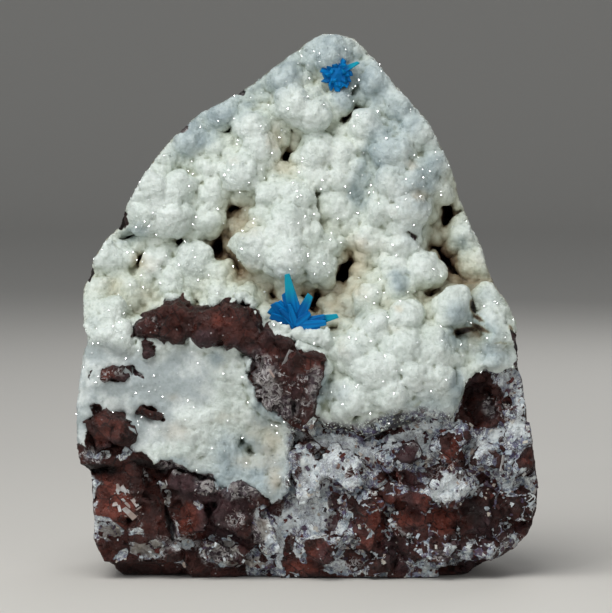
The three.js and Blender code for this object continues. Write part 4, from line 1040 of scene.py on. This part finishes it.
def basaltColours(board):
    patch = board.cloud(5, 4, 0.6)
    brick, hollow = board.attribute("brick"), board.attribute("hollow")
    red = board.mix(board.step(patch, 0.35, 0.65), tone(58, 28, 24), tone(80, 37, 30))
    red = board.mix(board.step(brick + 0.7 * (board.cloud(2, 4) - 0.5), 0.25, 0.75), red, tone(122, 60, 48))
    red = board.mix(board.patches(0.5, 0.64, 9, 3) * 0.7, red, tone(74, 54, 60))
    stony = board.ramp(board.lots(0.55) + 0.5 * (board.cloud(1.2, 4) - 0.5), (0, tone(50, 40, 46)),
                       (0.3, tone(100, 88, 98)), (0.55, tone(142, 134, 138)), (0.8, tone(184, 180, 178)))
    granular = board.step(board.attribute("grey") + 0.8 * (board.cloud(1.4, 4) - 0.5), 0.35, 0.8)
    red = board.mix(granular * 0.8, red, stony)
    darker = board.mix(0.65, red, tone(20, 8, 8))
    red = board.mix(board.step(board.lots(1.5, output=1), 0.2, 1) * 0.75, red, darker)
    seam = board.step(board.cells(2.2, "DISTANCE_TO_EDGE"), 0.06, 0.01) * board.patches(0.45, 0.55, 3, 2)
    red = board.mix(seam * 0.8, red, tone(18, 8, 8))
    grain = board.cloud(0.4, 4, 0.7)
    red = board.mix(board.step(grain, 0.35, 0.7) * 0.7, red, board.mix(0.6, red, tone(22, 8, 7)))
    thread = board.thread(2.2, 4, 0.6, 0.5)
    veined = board.cloud(6, 2) + 0.4 * board.attribute("grey") - 0.1
    pale = board.step(thread, 0.03, 0.01) * board.step(veined, 0.5, 0.6) * board.patches(0.46, 0.54, 0.8, 3)
    speck = (1 - board.step(board.cells(1.5), 0.06, 0.13)) * board.patches(0.45, 0.6, 5, 2)
    net = board.thread(1.5, 4, 0.6, 0.8)
    dust = board.maths("MAXIMUM", 1 - board.step(board.cells(0.5), 0.16, 0.26), board.step(net, 0.05, 0.02))
    dust = dust * board.step(board.attribute("white"), 0.2, 0.7)
    pale = board.maths("MAXIMUM", board.maths("MAXIMUM", pale, speck), dust)
    red = board.mix(pale, red, tone(184, 180, 180))
    # painted shade: the rock darkens to near black in the cracks and hollows
    return board.mix(board.step(hollow, 1.5, 4.5) * 0.85, red, tone(14, 7, 6))


def stoneMaterial(name):
    board = Board(name)
    rock, breccia, vein = (board.attribute(each) for each in ("rock", "breccia", "vein"))
    mask = rock + 0.6 * (board.cloud(0.7, 4, 0.7) - 0.5)
    isRock = board.maths("MAXIMUM", board.step(mask, -0.05, 0.06), fragmentMask(board) * breccia)
    grain = board.cloud(0.22, 3, 0.7)
    sugar = board.cells(0.5, "SMOOTH_F1") * -0.7 + 1.4 * board.cloud(0.35, 4, 0.7)
    sugar = sugar * (1 - 0.8 * vein) + 0.3 * grain
    sugar = sugar + breccia * 5 * (board.facets(1.4) + board.facets(0.6))
    sugar = sugar + breccia * 2 * board.cloud(0.8, 4, 0.7)
    colour = board.mix(breccia, zeoliteColours(board), brecciaColours(board))
    pale = board.skin(Base_Color=colour, Roughness=0.36, Specular_IOR_Level=0.45,
                      Subsurface_Weight=crustLook["subsurface"], Subsurface_Scale=0.6 * toMetres,
                      Subsurface_Radius=(1, 0.95, 0.85), Normal=board.bump(sugar, 0.14, 0.8))
    chipped = board.facets(2.4) + 0.9 * board.facets(0.9) + 0.35 * board.cloud(0.5, 4, 0.7)
    gloss = board.patches(0.5, 0.62, 1.3, 3)
    dark = board.skin(Base_Color=basaltColours(board), Roughness=0.6 - 0.36 * gloss, Specular_IOR_Level=0.36,
                      Normal=board.bump(chipped, 1.3, 1))
    return board.finish(board.add("ShaderNodeMixShader", {}, {0: isRock, 1: pale, 2: dark}))


random.seed(seeds["fillers"])
noise.seed_set(seeds["noise"])
crust = buildCrust()
placed(crust, stoneMaterial("zeolite_druse"), "zeolite_crust")

print("basalt matrix")
matrixLook = dict(
    cell=0.42,  # mm of detail
    limit=190000,  # triangles
    breaks=((5.5, 0.5, 0.26), (2.6, 0.42, 0.45), (1.3, 0.16, 0.35)),  # size, step and tilt of facets
    mostBroken=(-1.2, 1.1),  # mm that the breaks go in and out at most
    proud=0.5,  # mm by which bare rock stands before the solid's face
    hollows=1.15,  # how deep the crust's hollows go on in the rock
    smooth=10,  # how much the breccia is smoothed
    behindCrust=3,  # mm by which the rock lies back where crust covers it
    chip=2.2,  # mm by which the left corner is chipped away underneath
)


def facetRise(size, step, tilt):  # flat facets, each with a step and a tilt of its own
    spread = 13.7  # draws neighbouring facets' lots apart

    def rise(p):
        spot = noise.voronoi(p / size)[1][0]
        lot = noise.noise_vector(spot * spread)
        return step * lot.x * 2 + tilt * lot.dot((p / size - spot)) * size
    return rise


def buildMatrix():
    piece = remeshed(pieceOf(startFrom("basalt_matrix"), "basalt_breccia"), matrixLook["cell"])
    points = relaxed(piece, readPoints(piece), 1, 0.4)
    x, z = points[:, 0] - shift, points[:, 2]
    breccia = smoothstep(-0.5, 1, deepest([brecciaEdge], x, z)) * smoothstep(-4, -8, points[:, 1])
    points = relaxed(piece, points, matrixLook["smooth"], 0.5 * breccia[:, None])
    writePoints(piece, points)
    normals = readNormals(piece)
    rise = np.full(len(points), 0.08)
    for size, step, tilt in matrixLook["breaks"]:
        rise += perPoint(points, facetRise(size, step, tilt))
    rise += 0.14 * perPoint(points, lambda p: noise.fractal(p / 0.9, 0.8, 2.1, 3))
    standing = smoothstep(0.05, 1.2, points[:, 2])  # the base stays flat
    points = points + normals * (np.clip(rise, *matrixLook["mostBroken"]) * standing)[:, None]
    front = smoothstep(-0.3, 0.3, -normals[:, 1])
    wander = edgeNoise(points, *edgeWander)
    rock = np.minimum(deepest(rockPatches, x + wander[:, 0], z + wander[:, 2]),
                      -deepest(paleScraps, x + wander[:, 0], z + wander[:, 2]))
    under = smoothstep(0, 1, deepest([crustCover], x, z))
    points[:, 1] -= matrixLook["proud"] * smoothstep(-0.2, 0.3, rock) * front
    inside = smoothstep(1.4, 3.6, depthIn(outerEdge, x, z))
    back = matrixLook["behindCrust"] * smoothstep(-0.1, -1, rock)
    points[:, 1] += back * under * inside * smoothstep(-0.7, -0.1, -normals[:, 1])
    deep = depthOf(hollows, x + wander[:, 0], z + wander[:, 2]) * matrixLook["hollows"]
    points[:, 1] += (deep + depthOf(shadedCracks, x + wander[:, 0], z + wander[:, 2])) * front
    uneven = perPoint(points, lambda p: abs(noise.noise(p / 1.1)))
    corner = smoothstep(-33, -30, x) * smoothstep(-17, -19, x) * smoothstep(-8, -11, points[:, 1])
    points[:, 2] += matrixLook["chip"] * corner * smoothstep(3, 0, points[:, 2])
    points = keptInside(points, 0.05 + 0.35 * uneven + 0.5 * under)
    writePoints(piece, points)
    trimmedTo(piece, matrixLook["limit"], 1 - 0.75 * front)
    points, normals = readPoints(piece), readNormals(piece)
    rock = frontMarks(piece, points)
    bare = smoothstep(0.5, -0.5, deepest([crustCover], points[:, 0] - shift, points[:, 2]))
    rock += 0.6 * (1 - bare)
    writeMarks(piece, "breccia", np.maximum(readMarks(piece, "breccia"), bare))
    facing = (smoothstep(0.1, 0.45, -normals[:, 1]) * smoothstep(-8, -12, points[:, 1])).astype(np.float32)
    writeMarks(piece, "rock", rock * facing + 1.2 * (1 - facing))
    for mark in ("grey", "white", "tan", "brick"):  # drawn for the front only
        writeMarks(piece, mark, readMarks(piece, mark) * facing)
    wander = edgeNoise(points, *edgeWander)
    # painted shade: the hollow attribute darkens the rock and breccia in the cracks
    cracks = depthOf(shadedCracks, points[:, 0] - shift + wander[:, 0], points[:, 2] + wander[:, 2])
    attach(piece, "hollow", cracks * 3)
    return piece


matrix = buildMatrix()
placed(matrix, stoneMaterial("basalt_stone"), "basalt_matrix")

print("small crystals and fragments")
grainLook = dict(count=18000, sizes=(0.1, 0.24), sunk=0.5, tilt=0.7, tall=0.8, roughness=0.3)
# aim is how far the glints' faces stray, away the share turned from the camera, by up to aside in radians
glintLook = dict(count=380, sizes=(0.08, 0.17), sunk=-0.4, roughness=0.08, taper=0.8, tall=0.6,
                 aim=0.004, away=0.3, aside=1.2)
lathLook = dict(
    # from x, z to x, z, width
    drawn=[(-26.3, 12.8, -25.1, 10.9, 0.85), (-27, 10.8, -25.4, 9.2, 0.75), (-26.9, 11.6, -26.1, 10.8, 0.4),
           (-25.3, 10.3, -24.5, 11, 0.25), (-28.2, 14.1, -27.6, 12.7, 0.7), (-27.4, 13.9, -26.7, 12.9, 0.6),
           (-28.8, 11.2, -28, 11.3, 0.7), (-27.8, 11.2, -27.5, 10.2, 0.4), (-27.3, 12.2, -26.9, 11.7, 0.4),
           (-26.6, 13.3, -26.1, 12.9, 0.4), (-7.4, 24.9, -8.4, 27.6, 0.9), (28.3, 18.4, 28.2, 16, 0.6),
           (-15, 13.8, -14.2, 13.1, 0.4), (-3.9, 31.8, -2.6, 34, 0.7), (-5.8, 31.4, -5.1, 30.2, 0.35),
           (-20.9, 14.9, -20.7, 14.1, 0.2), (-24.2, 15.3, -23.6, 15.2, 0.5), (-16.9, 11.4, -16.2, 11.1, 0.5)],
    # small ones at random: x from, x to, z from, z to, count
    few=[(-29, -24, 8, 14, 14), (-16.8, -13.8, 12.2, 15.2, 16), (-12.4, -8.8, 7.6, 10.8, 26)],
    sizes=(0.06, 0.2), thick=0.12, proud=0.04, edge=0.03, uneven=0.2, roll=0.2,
)
fragmentLook = dict(count=700, sizes=(0.14, 0.42), sunk=0.75, shape=(1, 0.75, 0.6), uneven=0.25)


def trianglesOf(source):
    mesh = source.data
    mesh.calc_loop_triangles()
    corners = np.empty(len(mesh.loop_triangles) * 3, np.int64)
    mesh.loop_triangles.foreach_get("vertices", corners)
    return corners.reshape(-1, 3)


def scatter(source, weigh, one, look, name, carried):  # copies of a small shape over a piece's front
    count = look["count"]
    corners, points = trianglesOf(source), readPoints(source) / toMetres
    a, b, c = (points[corners[:, i]] for i in range(3))
    normal = np.cross(b - a, c - a)
    area = np.linalg.norm(normal, axis=1) / 2
    normal /= np.maximum(area, 1e-9)[:, None] * 2
    weight = area * weigh(corners, normal)
    draw = np.random.default_rng(seeds["scatter"])
    chosen = draw.choice(len(corners), count, p=weight / weight.sum())
    u, v = draw.random((2, count))
    u, v = np.where(u + v > 1, 1 - u, u), np.where(u + v > 1, 1 - v, v)
    spot = a[chosen] + u[:, None] * (b - a)[chosen] + v[:, None] * (c - a)[chosen]
    size = look["sizes"][0] + (look["sizes"][1] - look["sizes"][0]) * draw.random(count) ** 2
    up = normal[chosen]
    spot += up * (size * (0.5 - look["sunk"]))[:, None]
    turns = anyTurns(draw, count)
    if "aim" in look:  # flat faces that reflect one of the small lamps, most of them towards the camera
        lampSpots = np.array([lamp["spot"] for name, lamp in lamps.items() if name.startswith("glint")])
        eye = scene.camera.location / toMetres
        away = draw.random(count) < look["away"]
        aside = np.where(away, draw.uniform(-look["aside"], look["aside"], count), 0)
        cos, sin = np.cos(aside), np.sin(aside)
        eyes = np.stack([eye.x * cos - eye.y * sin, eye.x * sin + eye.y * cos, np.full(count, eye.z)], 1)
        ways = [target - spot for target in (eyes, lampSpots[draw.integers(len(lampSpots), size=count)])]
        up = sum(way / np.linalg.norm(way, axis=1)[:, None] for way in ways)
        up += draw.normal(size=(count, 3)) * look["aim"]
    if "tilt" in look:  # standing on the surface, more or less
        up = up + look["tilt"] * draw.normal(size=(count, 3)) * 0.5
    if "tilt" in look or "aim" in look:
        up /= np.linalg.norm(up, axis=1)[:, None]
        side = np.cross(up, turns[:, 0])
        side /= np.linalg.norm(side, axis=1)[:, None]
        turns = np.stack([side, np.cross(up, side), up], 2)
    copies = len(one.verts)
    piece = tiled(one, spot, size, turns, name)
    for attribute in carried:
        attach(piece, attribute, np.repeat(readMarks(source, attribute)[corners[chosen, 0]], copies))
    attach(piece, "lot", np.repeat(draw.random(count), copies))
    return piece


def weightOf(source, ranges, facing=0.1):  # how likely each triangle is, by its marks: name, none at, full at
    def weigh(corners, normal):
        weight = smoothstep(facing, facing + 0.4, -normal[:, 1])
        for attribute, none, full in ranges:
            values = readMarks(source, attribute)[corners].mean(1)
            weight = weight * smoothstep(0, 1, (values - none) / (full - none))
        return weight
    return weigh


def grainMaterial():
    board = Board("zeolite_grains")
    # the grains take the crust's colours, painted shade in hollows and creases included
    return board.finish(board.skin(Base_Color=zeoliteColours(board), Roughness=grainLook["roughness"],
                                   Specular_IOR_Level=0.4))


def lowPyramid():
    one = bmesh.new()
    bmesh.ops.create_cone(one, cap_ends=False, segments=5, radius1=1, radius2=0, depth=grainLook["tall"])
    return one


def plate():
    one = bmesh.new()
    bmesh.ops.create_cone(one, cap_ends=True, cap_tris=True, segments=6, radius1=1,
                          radius2=glintLook["taper"], depth=glintLook["tall"])
    bmesh.ops.triangulate(one, faces=one.faces)
    return one


def chip():  # an angular chip
    one = bmesh.new()
    uneven = fragmentLook["uneven"]
    bmesh.ops.create_cube(one, size=2)
    bmesh.ops.scale(one, vec=fragmentLook["shape"], verts=one.verts)
    for vertex in one.verts:
        vertex.co += Vector(random.uniform(-uneven, uneven) for _ in range(3))
    bmesh.ops.triangulate(one, faces=one.faces)
    return one


def addLaths(source):  # flat laths on the rock, the drawn ones and a few at random
    surface = BVHTree.FromPolygons((readPoints(source) / toMetres).tolist(), trianglesOf(source).tolist())
    shape = bmesh.new()
    drawn = list(lathLook["drawn"])
    for x, z in [(random.uniform(x0, x1), random.uniform(z0, z1)) for x0, x1, z0, z1, count in lathLook["few"]
                 for _ in range(count)]:
        long = random.uniform(*lathLook["sizes"])
        turn = random.uniform(0, math.pi)
        ends = x, z, x + 2 * long * math.cos(turn), z + 2 * long * math.sin(turn)
        drawn.append((*ends, long * random.uniform(0.3, 0.7)))
    for x0, z0, x1, z1, width in drawn:
        spot, normal = probe(surface, (x0 + x1) / 2, (z0 + z1) / 2)
        if spot is None or normal.y > -0.4:
            continue
        made = bmesh.ops.create_cube(shape, size=1)["verts"]
        bmesh.ops.scale(shape, vec=(math.hypot(x1 - x0, z1 - z0), width, lathLook["thick"]), verts=made)
        uneven = lathLook["uneven"]
        for vertex in made:
            vertex.co += Vector(random.uniform(-uneven, uneven) * width for _ in range(3))
        along = Vector((x1 - x0, 0, z1 - z0)).normalized()
        along = (along - along.dot(normal) * normal).normalized()
        turn = Matrix((along, normal.cross(along), normal)).transposed().to_4x4()
        lift = Matrix.Translation(spot + normal * lathLook["proud"])
        roll = Matrix.Rotation(random.uniform(-lathLook["roll"], lathLook["roll"]), 4, "X")
        bmesh.ops.transform(shape, matrix=lift @ turn @ roll, verts=made)
    bevelled(shape, shape.edges, lathLook["edge"])
    piece = pieceOf(shape, "zeolite_laths")
    board = Board("zeolite_laths")
    pale = board.mix(board.patches(0.4, 0.6, 2.4, 2), tone(174, 174, 174), tone(150, 134, 127))
    skin = board.skin(Base_Color=pale, Roughness=0.3, Specular_IOR_Level=0.5)
    placed(piece, board.finish(skin), smooth=False)


def fragmentMaterial():
    board = Board("breccia_fragments")
    lot, hollow = board.attribute("lot"), board.attribute("hollow")
    colour = board.ramp(lot, (0, tone(222, 229, 230)), (0.34, tone(180, 194, 204)),
                        (0.5, tone(204, 198, 186)), (0.62, tone(92, 40, 32)), (0.76, tone(54, 26, 24)),
                        (0.88, tone(74, 62, 84)), (0.96, tone(30, 20, 24)))
    dirty = board.mix(0.5, colour, tone(60, 40, 46))
    colour = board.mix(0.5 * board.patches(0.35, 0.65, 0.5, 4), colour, dirty)
    # painted shade: fragments in the cracks and hollows darken to near black
    colour = board.mix(board.step(hollow, 1.5, 4.5) * 0.85, colour, tone(14, 7, 6))
    return board.finish(board.skin(Base_Color=colour, Roughness=0.4, Specular_IOR_Level=0.35,
                                   Normal=board.bump(board.cloud(0.3, 4, 0.7), 0.12, 0.8)))


def glintMaterial():
    board = Board("zeolite_glints")
    return board.finish(board.skin(Base_Color=tone(226, 232, 232), Roughness=glintLook["roughness"],
                                   Specular_IOR_Level=1))


offRock, offHollow = ("rock", 0.1, -0.4), ("hollow", 6, 3)
onCrust = weightOf(crust, (offRock, ("vein", 1.4, 0.1), offHollow), -0.3)
grains = scatter(crust, onCrust, lowPyramid(), grainLook, "zeolite_grains", crustMarks)
placed(grains, grainMaterial(), smooth=False)
glints = scatter(crust, weightOf(crust, (offRock, offHollow)), plate(), glintLook, "zeolite_glints", ())
placed(glints, glintMaterial(), smooth=False)
random.seed(seeds["laths"])
addLaths(matrix)
inCement = weightOf(matrix, (("breccia", 0.2, 0.9), ("hollow", 4, 1), ("rock", 0.3, -0.3)))
fragments = scatter(matrix, inCement, chip(), fragmentLook, "breccia_fragments", ("hollow",))
placed(fragments, fragmentMaterial(), smooth=False)

print("cavansite")
bladeLook = dict(
    levels=(0.4, 0.75, 1),  # how far up a blade has rings of corners
    flat=1.6,  # how much of its width is flat
    behind=0.9,  # mm from a group's root to the back of the solid's box
    edge=0.05,  # mm of bevel on each edge
    crisp=0.5,  # radians that an edge turns by at least to be bevelled
)
sprayLook = dict(
    root=(-1.9, 37.5),
    # tip x and z, lean to the front, half-width at the foot and at the tip,
    # how far up the teal begins, mm forward
    laths=[
        (-3.2, 45, 5, 1.55, 0.4, 0.74, 0.5), (-3.6, 42.2, 6, 1.2, 0.5, 1.6, 0.25),
        (-2.3, 41.7, 6, 1.1, 0.4, 1.9, 0.15), (-1.75, 40.8, 7, 0.9, 0.3, 1.9, 0.2),
        (-4.4, 41, 7, 1.1, 0.4, 1.9, 0.1), (-5.2, 40.7, 8, 1.2, 0.55, 1.7, 0.35),
        (-5.75, 39.8, 8, 1.15, 0.6, 1.5, 0.2), (-5.6, 38.9, 9, 1, 0.5, 1.7, 0.45),
        (-4.7, 38, 9, 0.8, 0.4, 1.9, 0.3), (0.2, 41.95, 7, 1.1, 0.5, 1.1, 0.6),
        (-0.2, 40.4, 9, 0.9, 0.3, 1.9, 0.3), (0.2, 39.3, 9, 0.9, 0.35, 1.9, 0.75),
        (4.2, 38.9, 6, 1.2, 0.34, 0.9, 0.3), (2.3, 38.8, 8, 1, 0.4, 1.5, 0.55),
        (2.5, 37.9, 8, 1, 0.4, 1.5, 0.7), (1.6, 37.2, 9, 0.8, 0.4, 1.9, 0.45),
        (0.6, 36.9, 9, 0.6, 0.4, 1.9, 0.3), (-4.2, 39.9, 12, 0.9, 0.3, 2.2, 0.7),
        (-2.9, 40.6, 12, 0.9, 0.25, 2.2, 0.75),
    ],
    thick=0.24, spin=10, slant=0.35,
)
rosetteLook = dict(
    root=(4.1, 74), core=(1.75, 1.1, 1.9), facets=0.1,
    # the points of its edge: degrees from +X and mm from the root
    points=[(95, 3.2), (118, 2.45), (140, 2.3), (166, 2.45), (190, 2.1), (214, 2.3), (244, 2.4), (272, 2.7),
            (293, 2.2), (313, 2.5), (338, 2.2), (2, 2.3), (34, 2.1), (62, 2.4)],
    lean=10, count=10, spread=(0.45, 0.9), lengths=(1.8, 2.25), reach=(1, 0.62, 1.1), half=0.85, tip=0.4,
    long=(7.3, 75.7, 6, 0.7, 0.22, 0.8, 0.4), thick=0.34, spin=30, slant=0.9, teal=1.6, goldenAngle=137.5,
)


def addBlade(shape, foot, tip, half, end, teal, look):  # a flat lath with bevelled sides, cut off at the tip
    layers = [shape.verts.layers.float[name] for name in ("tip", "across")]
    way = (tip - foot).normalized()
    facing = (Vector((0, -1, 0)) + way * way.y).normalized()
    turn = Matrix((facing.cross(way), facing, way)).transposed().to_4x4()
    spin = Matrix.Rotation(math.radians(random.uniform(-1, 1) * look["spin"]), 4, "Z")
    flatSides = Matrix.Rotation(math.pi / 6, 4, "Z")
    made = bmesh.ops.create_circle(shape, cap_ends=True, segments=6, radius=1, matrix=flatSides)
    face = made["verts"][0].link_faces[0]
    ends = {vertex: 0 for vertex in made["verts"]}
    for at in bladeLook["levels"]:
        face = bmesh.ops.extrude_discrete_faces(shape, faces=[face])["faces"][0]
        ends.update({vertex: at for vertex in face.verts})
    lot, slant = random.uniform(0, 9), random.uniform(-1, 1) * look["slant"]
    for vertex, at in ends.items():
        x = max(-1, min(1, bladeLook["flat"] * vertex.co.x)) * (half + (end - half) * at)
        vertex[layers[0]], vertex[layers[1]] = at / teal, 4 * x + lot
        vertex.co = x, vertex.co.y * look["thick"], at * (tip - foot).length + slant * x * (at == 1)
    bmesh.ops.transform(shape, matrix=Matrix.Translation(foot) @ turn @ spin, verts=list(ends))


def cavansiteMaterial():
    board = Board("cavansite_blue")
    tip = board.attribute("tip") + 0.25 * (board.cloud(0.9) - 0.5)
    own = board.step(board.stripes("across", 0.4), 0.35, 0.65)  # each blade has a blue of its own
    blue = board.mix(own, tone(0, 76, 140), tone(0, 118, 188))
    blue = board.mix(board.step(tip, 0.5, 1.05), blue, tone(20, 150, 176))
    lines = board.stripes("across", 3.0)
    return board.finish(board.skin(Base_Color=blue, Roughness=0.42, Specular_IOR_Level=0.1,
                                   Normal=board.bump(lines + 0.3 * board.cloud(0.2, 2), 0.08, 0.8)))


def rootOf(node, look):  # the middle of a group, a little before the back of the solid's box
    back = max(corner[1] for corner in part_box(node)) / toMetres
    return Vector((look["root"][0] + shift, back - bladeLook["behind"], look["root"][1]))


def addLath(shape, root, look, lath):
    x, z, lean, half, end, teal, forward = lath
    foot = root - Vector((0, forward, 0))
    tip = Vector((x + shift, foot.y, z))
    tip.y -= math.tan(math.radians(lean)) * (tip - foot).length
    addBlade(shape, foot, tip, half, end, teal, look)


def blueGroup(shape, node, name):
    bmesh.ops.recalc_face_normals(shape, faces=shape.faces)
    sharp = [edge for edge in shape.edges if edge.calc_face_angle(0) > bladeLook["crisp"]]
    bevelled(shape, sharp, bladeLook["edge"])
    placed(pieceOf(shape, name), cavansiteMaterial(), node, smooth=False)


def startBlue():
    shape = bmesh.new()
    for layer in ("tip", "across"):
        shape.verts.layers.float.new(layer)
    return shape


def addSpray():
    shape = startBlue()
    for lath in sprayLook["laths"]:
        addLath(shape, rootOf("cavansite_spray", sprayLook), sprayLook, lath)
    blueGroup(shape, "cavansite_spray", "spray_crystals")


def addRosette():  # a ball with pointed blades all round its edge and over its front
    look, root, shape = rosetteLook, rootOf("cavansite_rosette", rosetteLook), startBlue()
    made = bmesh.ops.create_icosphere(shape, subdivisions=2, radius=1)["verts"]
    for vertex in made:
        vertex.co *= random.uniform(1 - look["facets"], 1 + look["facets"] / 2)
    core = Matrix.Translation(root) @ Matrix.Diagonal((*look["core"], 1))
    bmesh.ops.transform(shape, matrix=core, verts=made)
    ways = [(angle, look["lean"], long, (1, 1, 1)) for angle, long in look["points"]]
    low, high = look["spread"]
    for i in range(look["count"]):
        lean = math.degrees(math.asin(low + (high - low) * (i + 0.5) / look["count"]))
        ways.append((look["goldenAngle"] * i, lean, random.uniform(*look["lengths"]), look["reach"]))
    for angle, lean, long, reach in ways:
        a, b = math.radians(angle), math.radians(lean)
        way = Vector((math.cos(a) * math.cos(b), -math.sin(b), math.sin(a) * math.cos(b))) * Vector(reach)
        addBlade(shape, root, root + way * long, look["half"], look["tip"], look["teal"], look)
    addLath(shape, root, look, look["long"])
    blueGroup(shape, "cavansite_rosette", "rosette_crystals")


random.seed(seeds["blades"])
addSpray()
addRosette()

print("floor")
floorLook = dict(half=1300, steps=8, step=60, wall=900, forward=200)  # its bend is made in steps


def extrudedBy(shape, edges, vec):  # draws a strip out of some edges, and gives its far edges
    made = bmesh.ops.extrude_edge_only(shape, edges=edges)["geom"]
    bmesh.ops.translate(shape, vec=vec, verts=[g for g in made if isinstance(g, bmesh.types.BMVert)])
    return [g for g in made if isinstance(g, bmesh.types.BMEdge)]


def addFloor():
    shape = bmesh.new()
    step = floorLook["step"]
    bmesh.ops.create_grid(shape, x_segments=1, y_segments=1, size=floorLook["half"])
    edge = [e for e in shape.edges if all(v.co.y > 0 for v in e.verts)]
    for turn in range(floorLook["steps"]):
        lift = math.radians(90 / floorLook["steps"] * (turn + 1))
        edge = extrudedBy(shape, edge, (0, step * math.cos(lift), step * math.sin(lift)))
    extrudedBy(shape, edge, (0, 0, floorLook["wall"]))
    bmesh.ops.translate(shape, vec=(0, -floorLook["forward"], 0), verts=shape.verts)
    floor = pieceOf(shape, "floor")
    floor.data.transform(Matrix.Scale(toMetres, 4))
    board = Board("paper")
    floor.data.materials.append(board.finish(board.skin(Base_Color=tone(206, 204, 199), Roughness=0.9)))
    floor.data.polygons.foreach_set("use_smooth", [True] * len(floor.data.polygons))


addFloor()
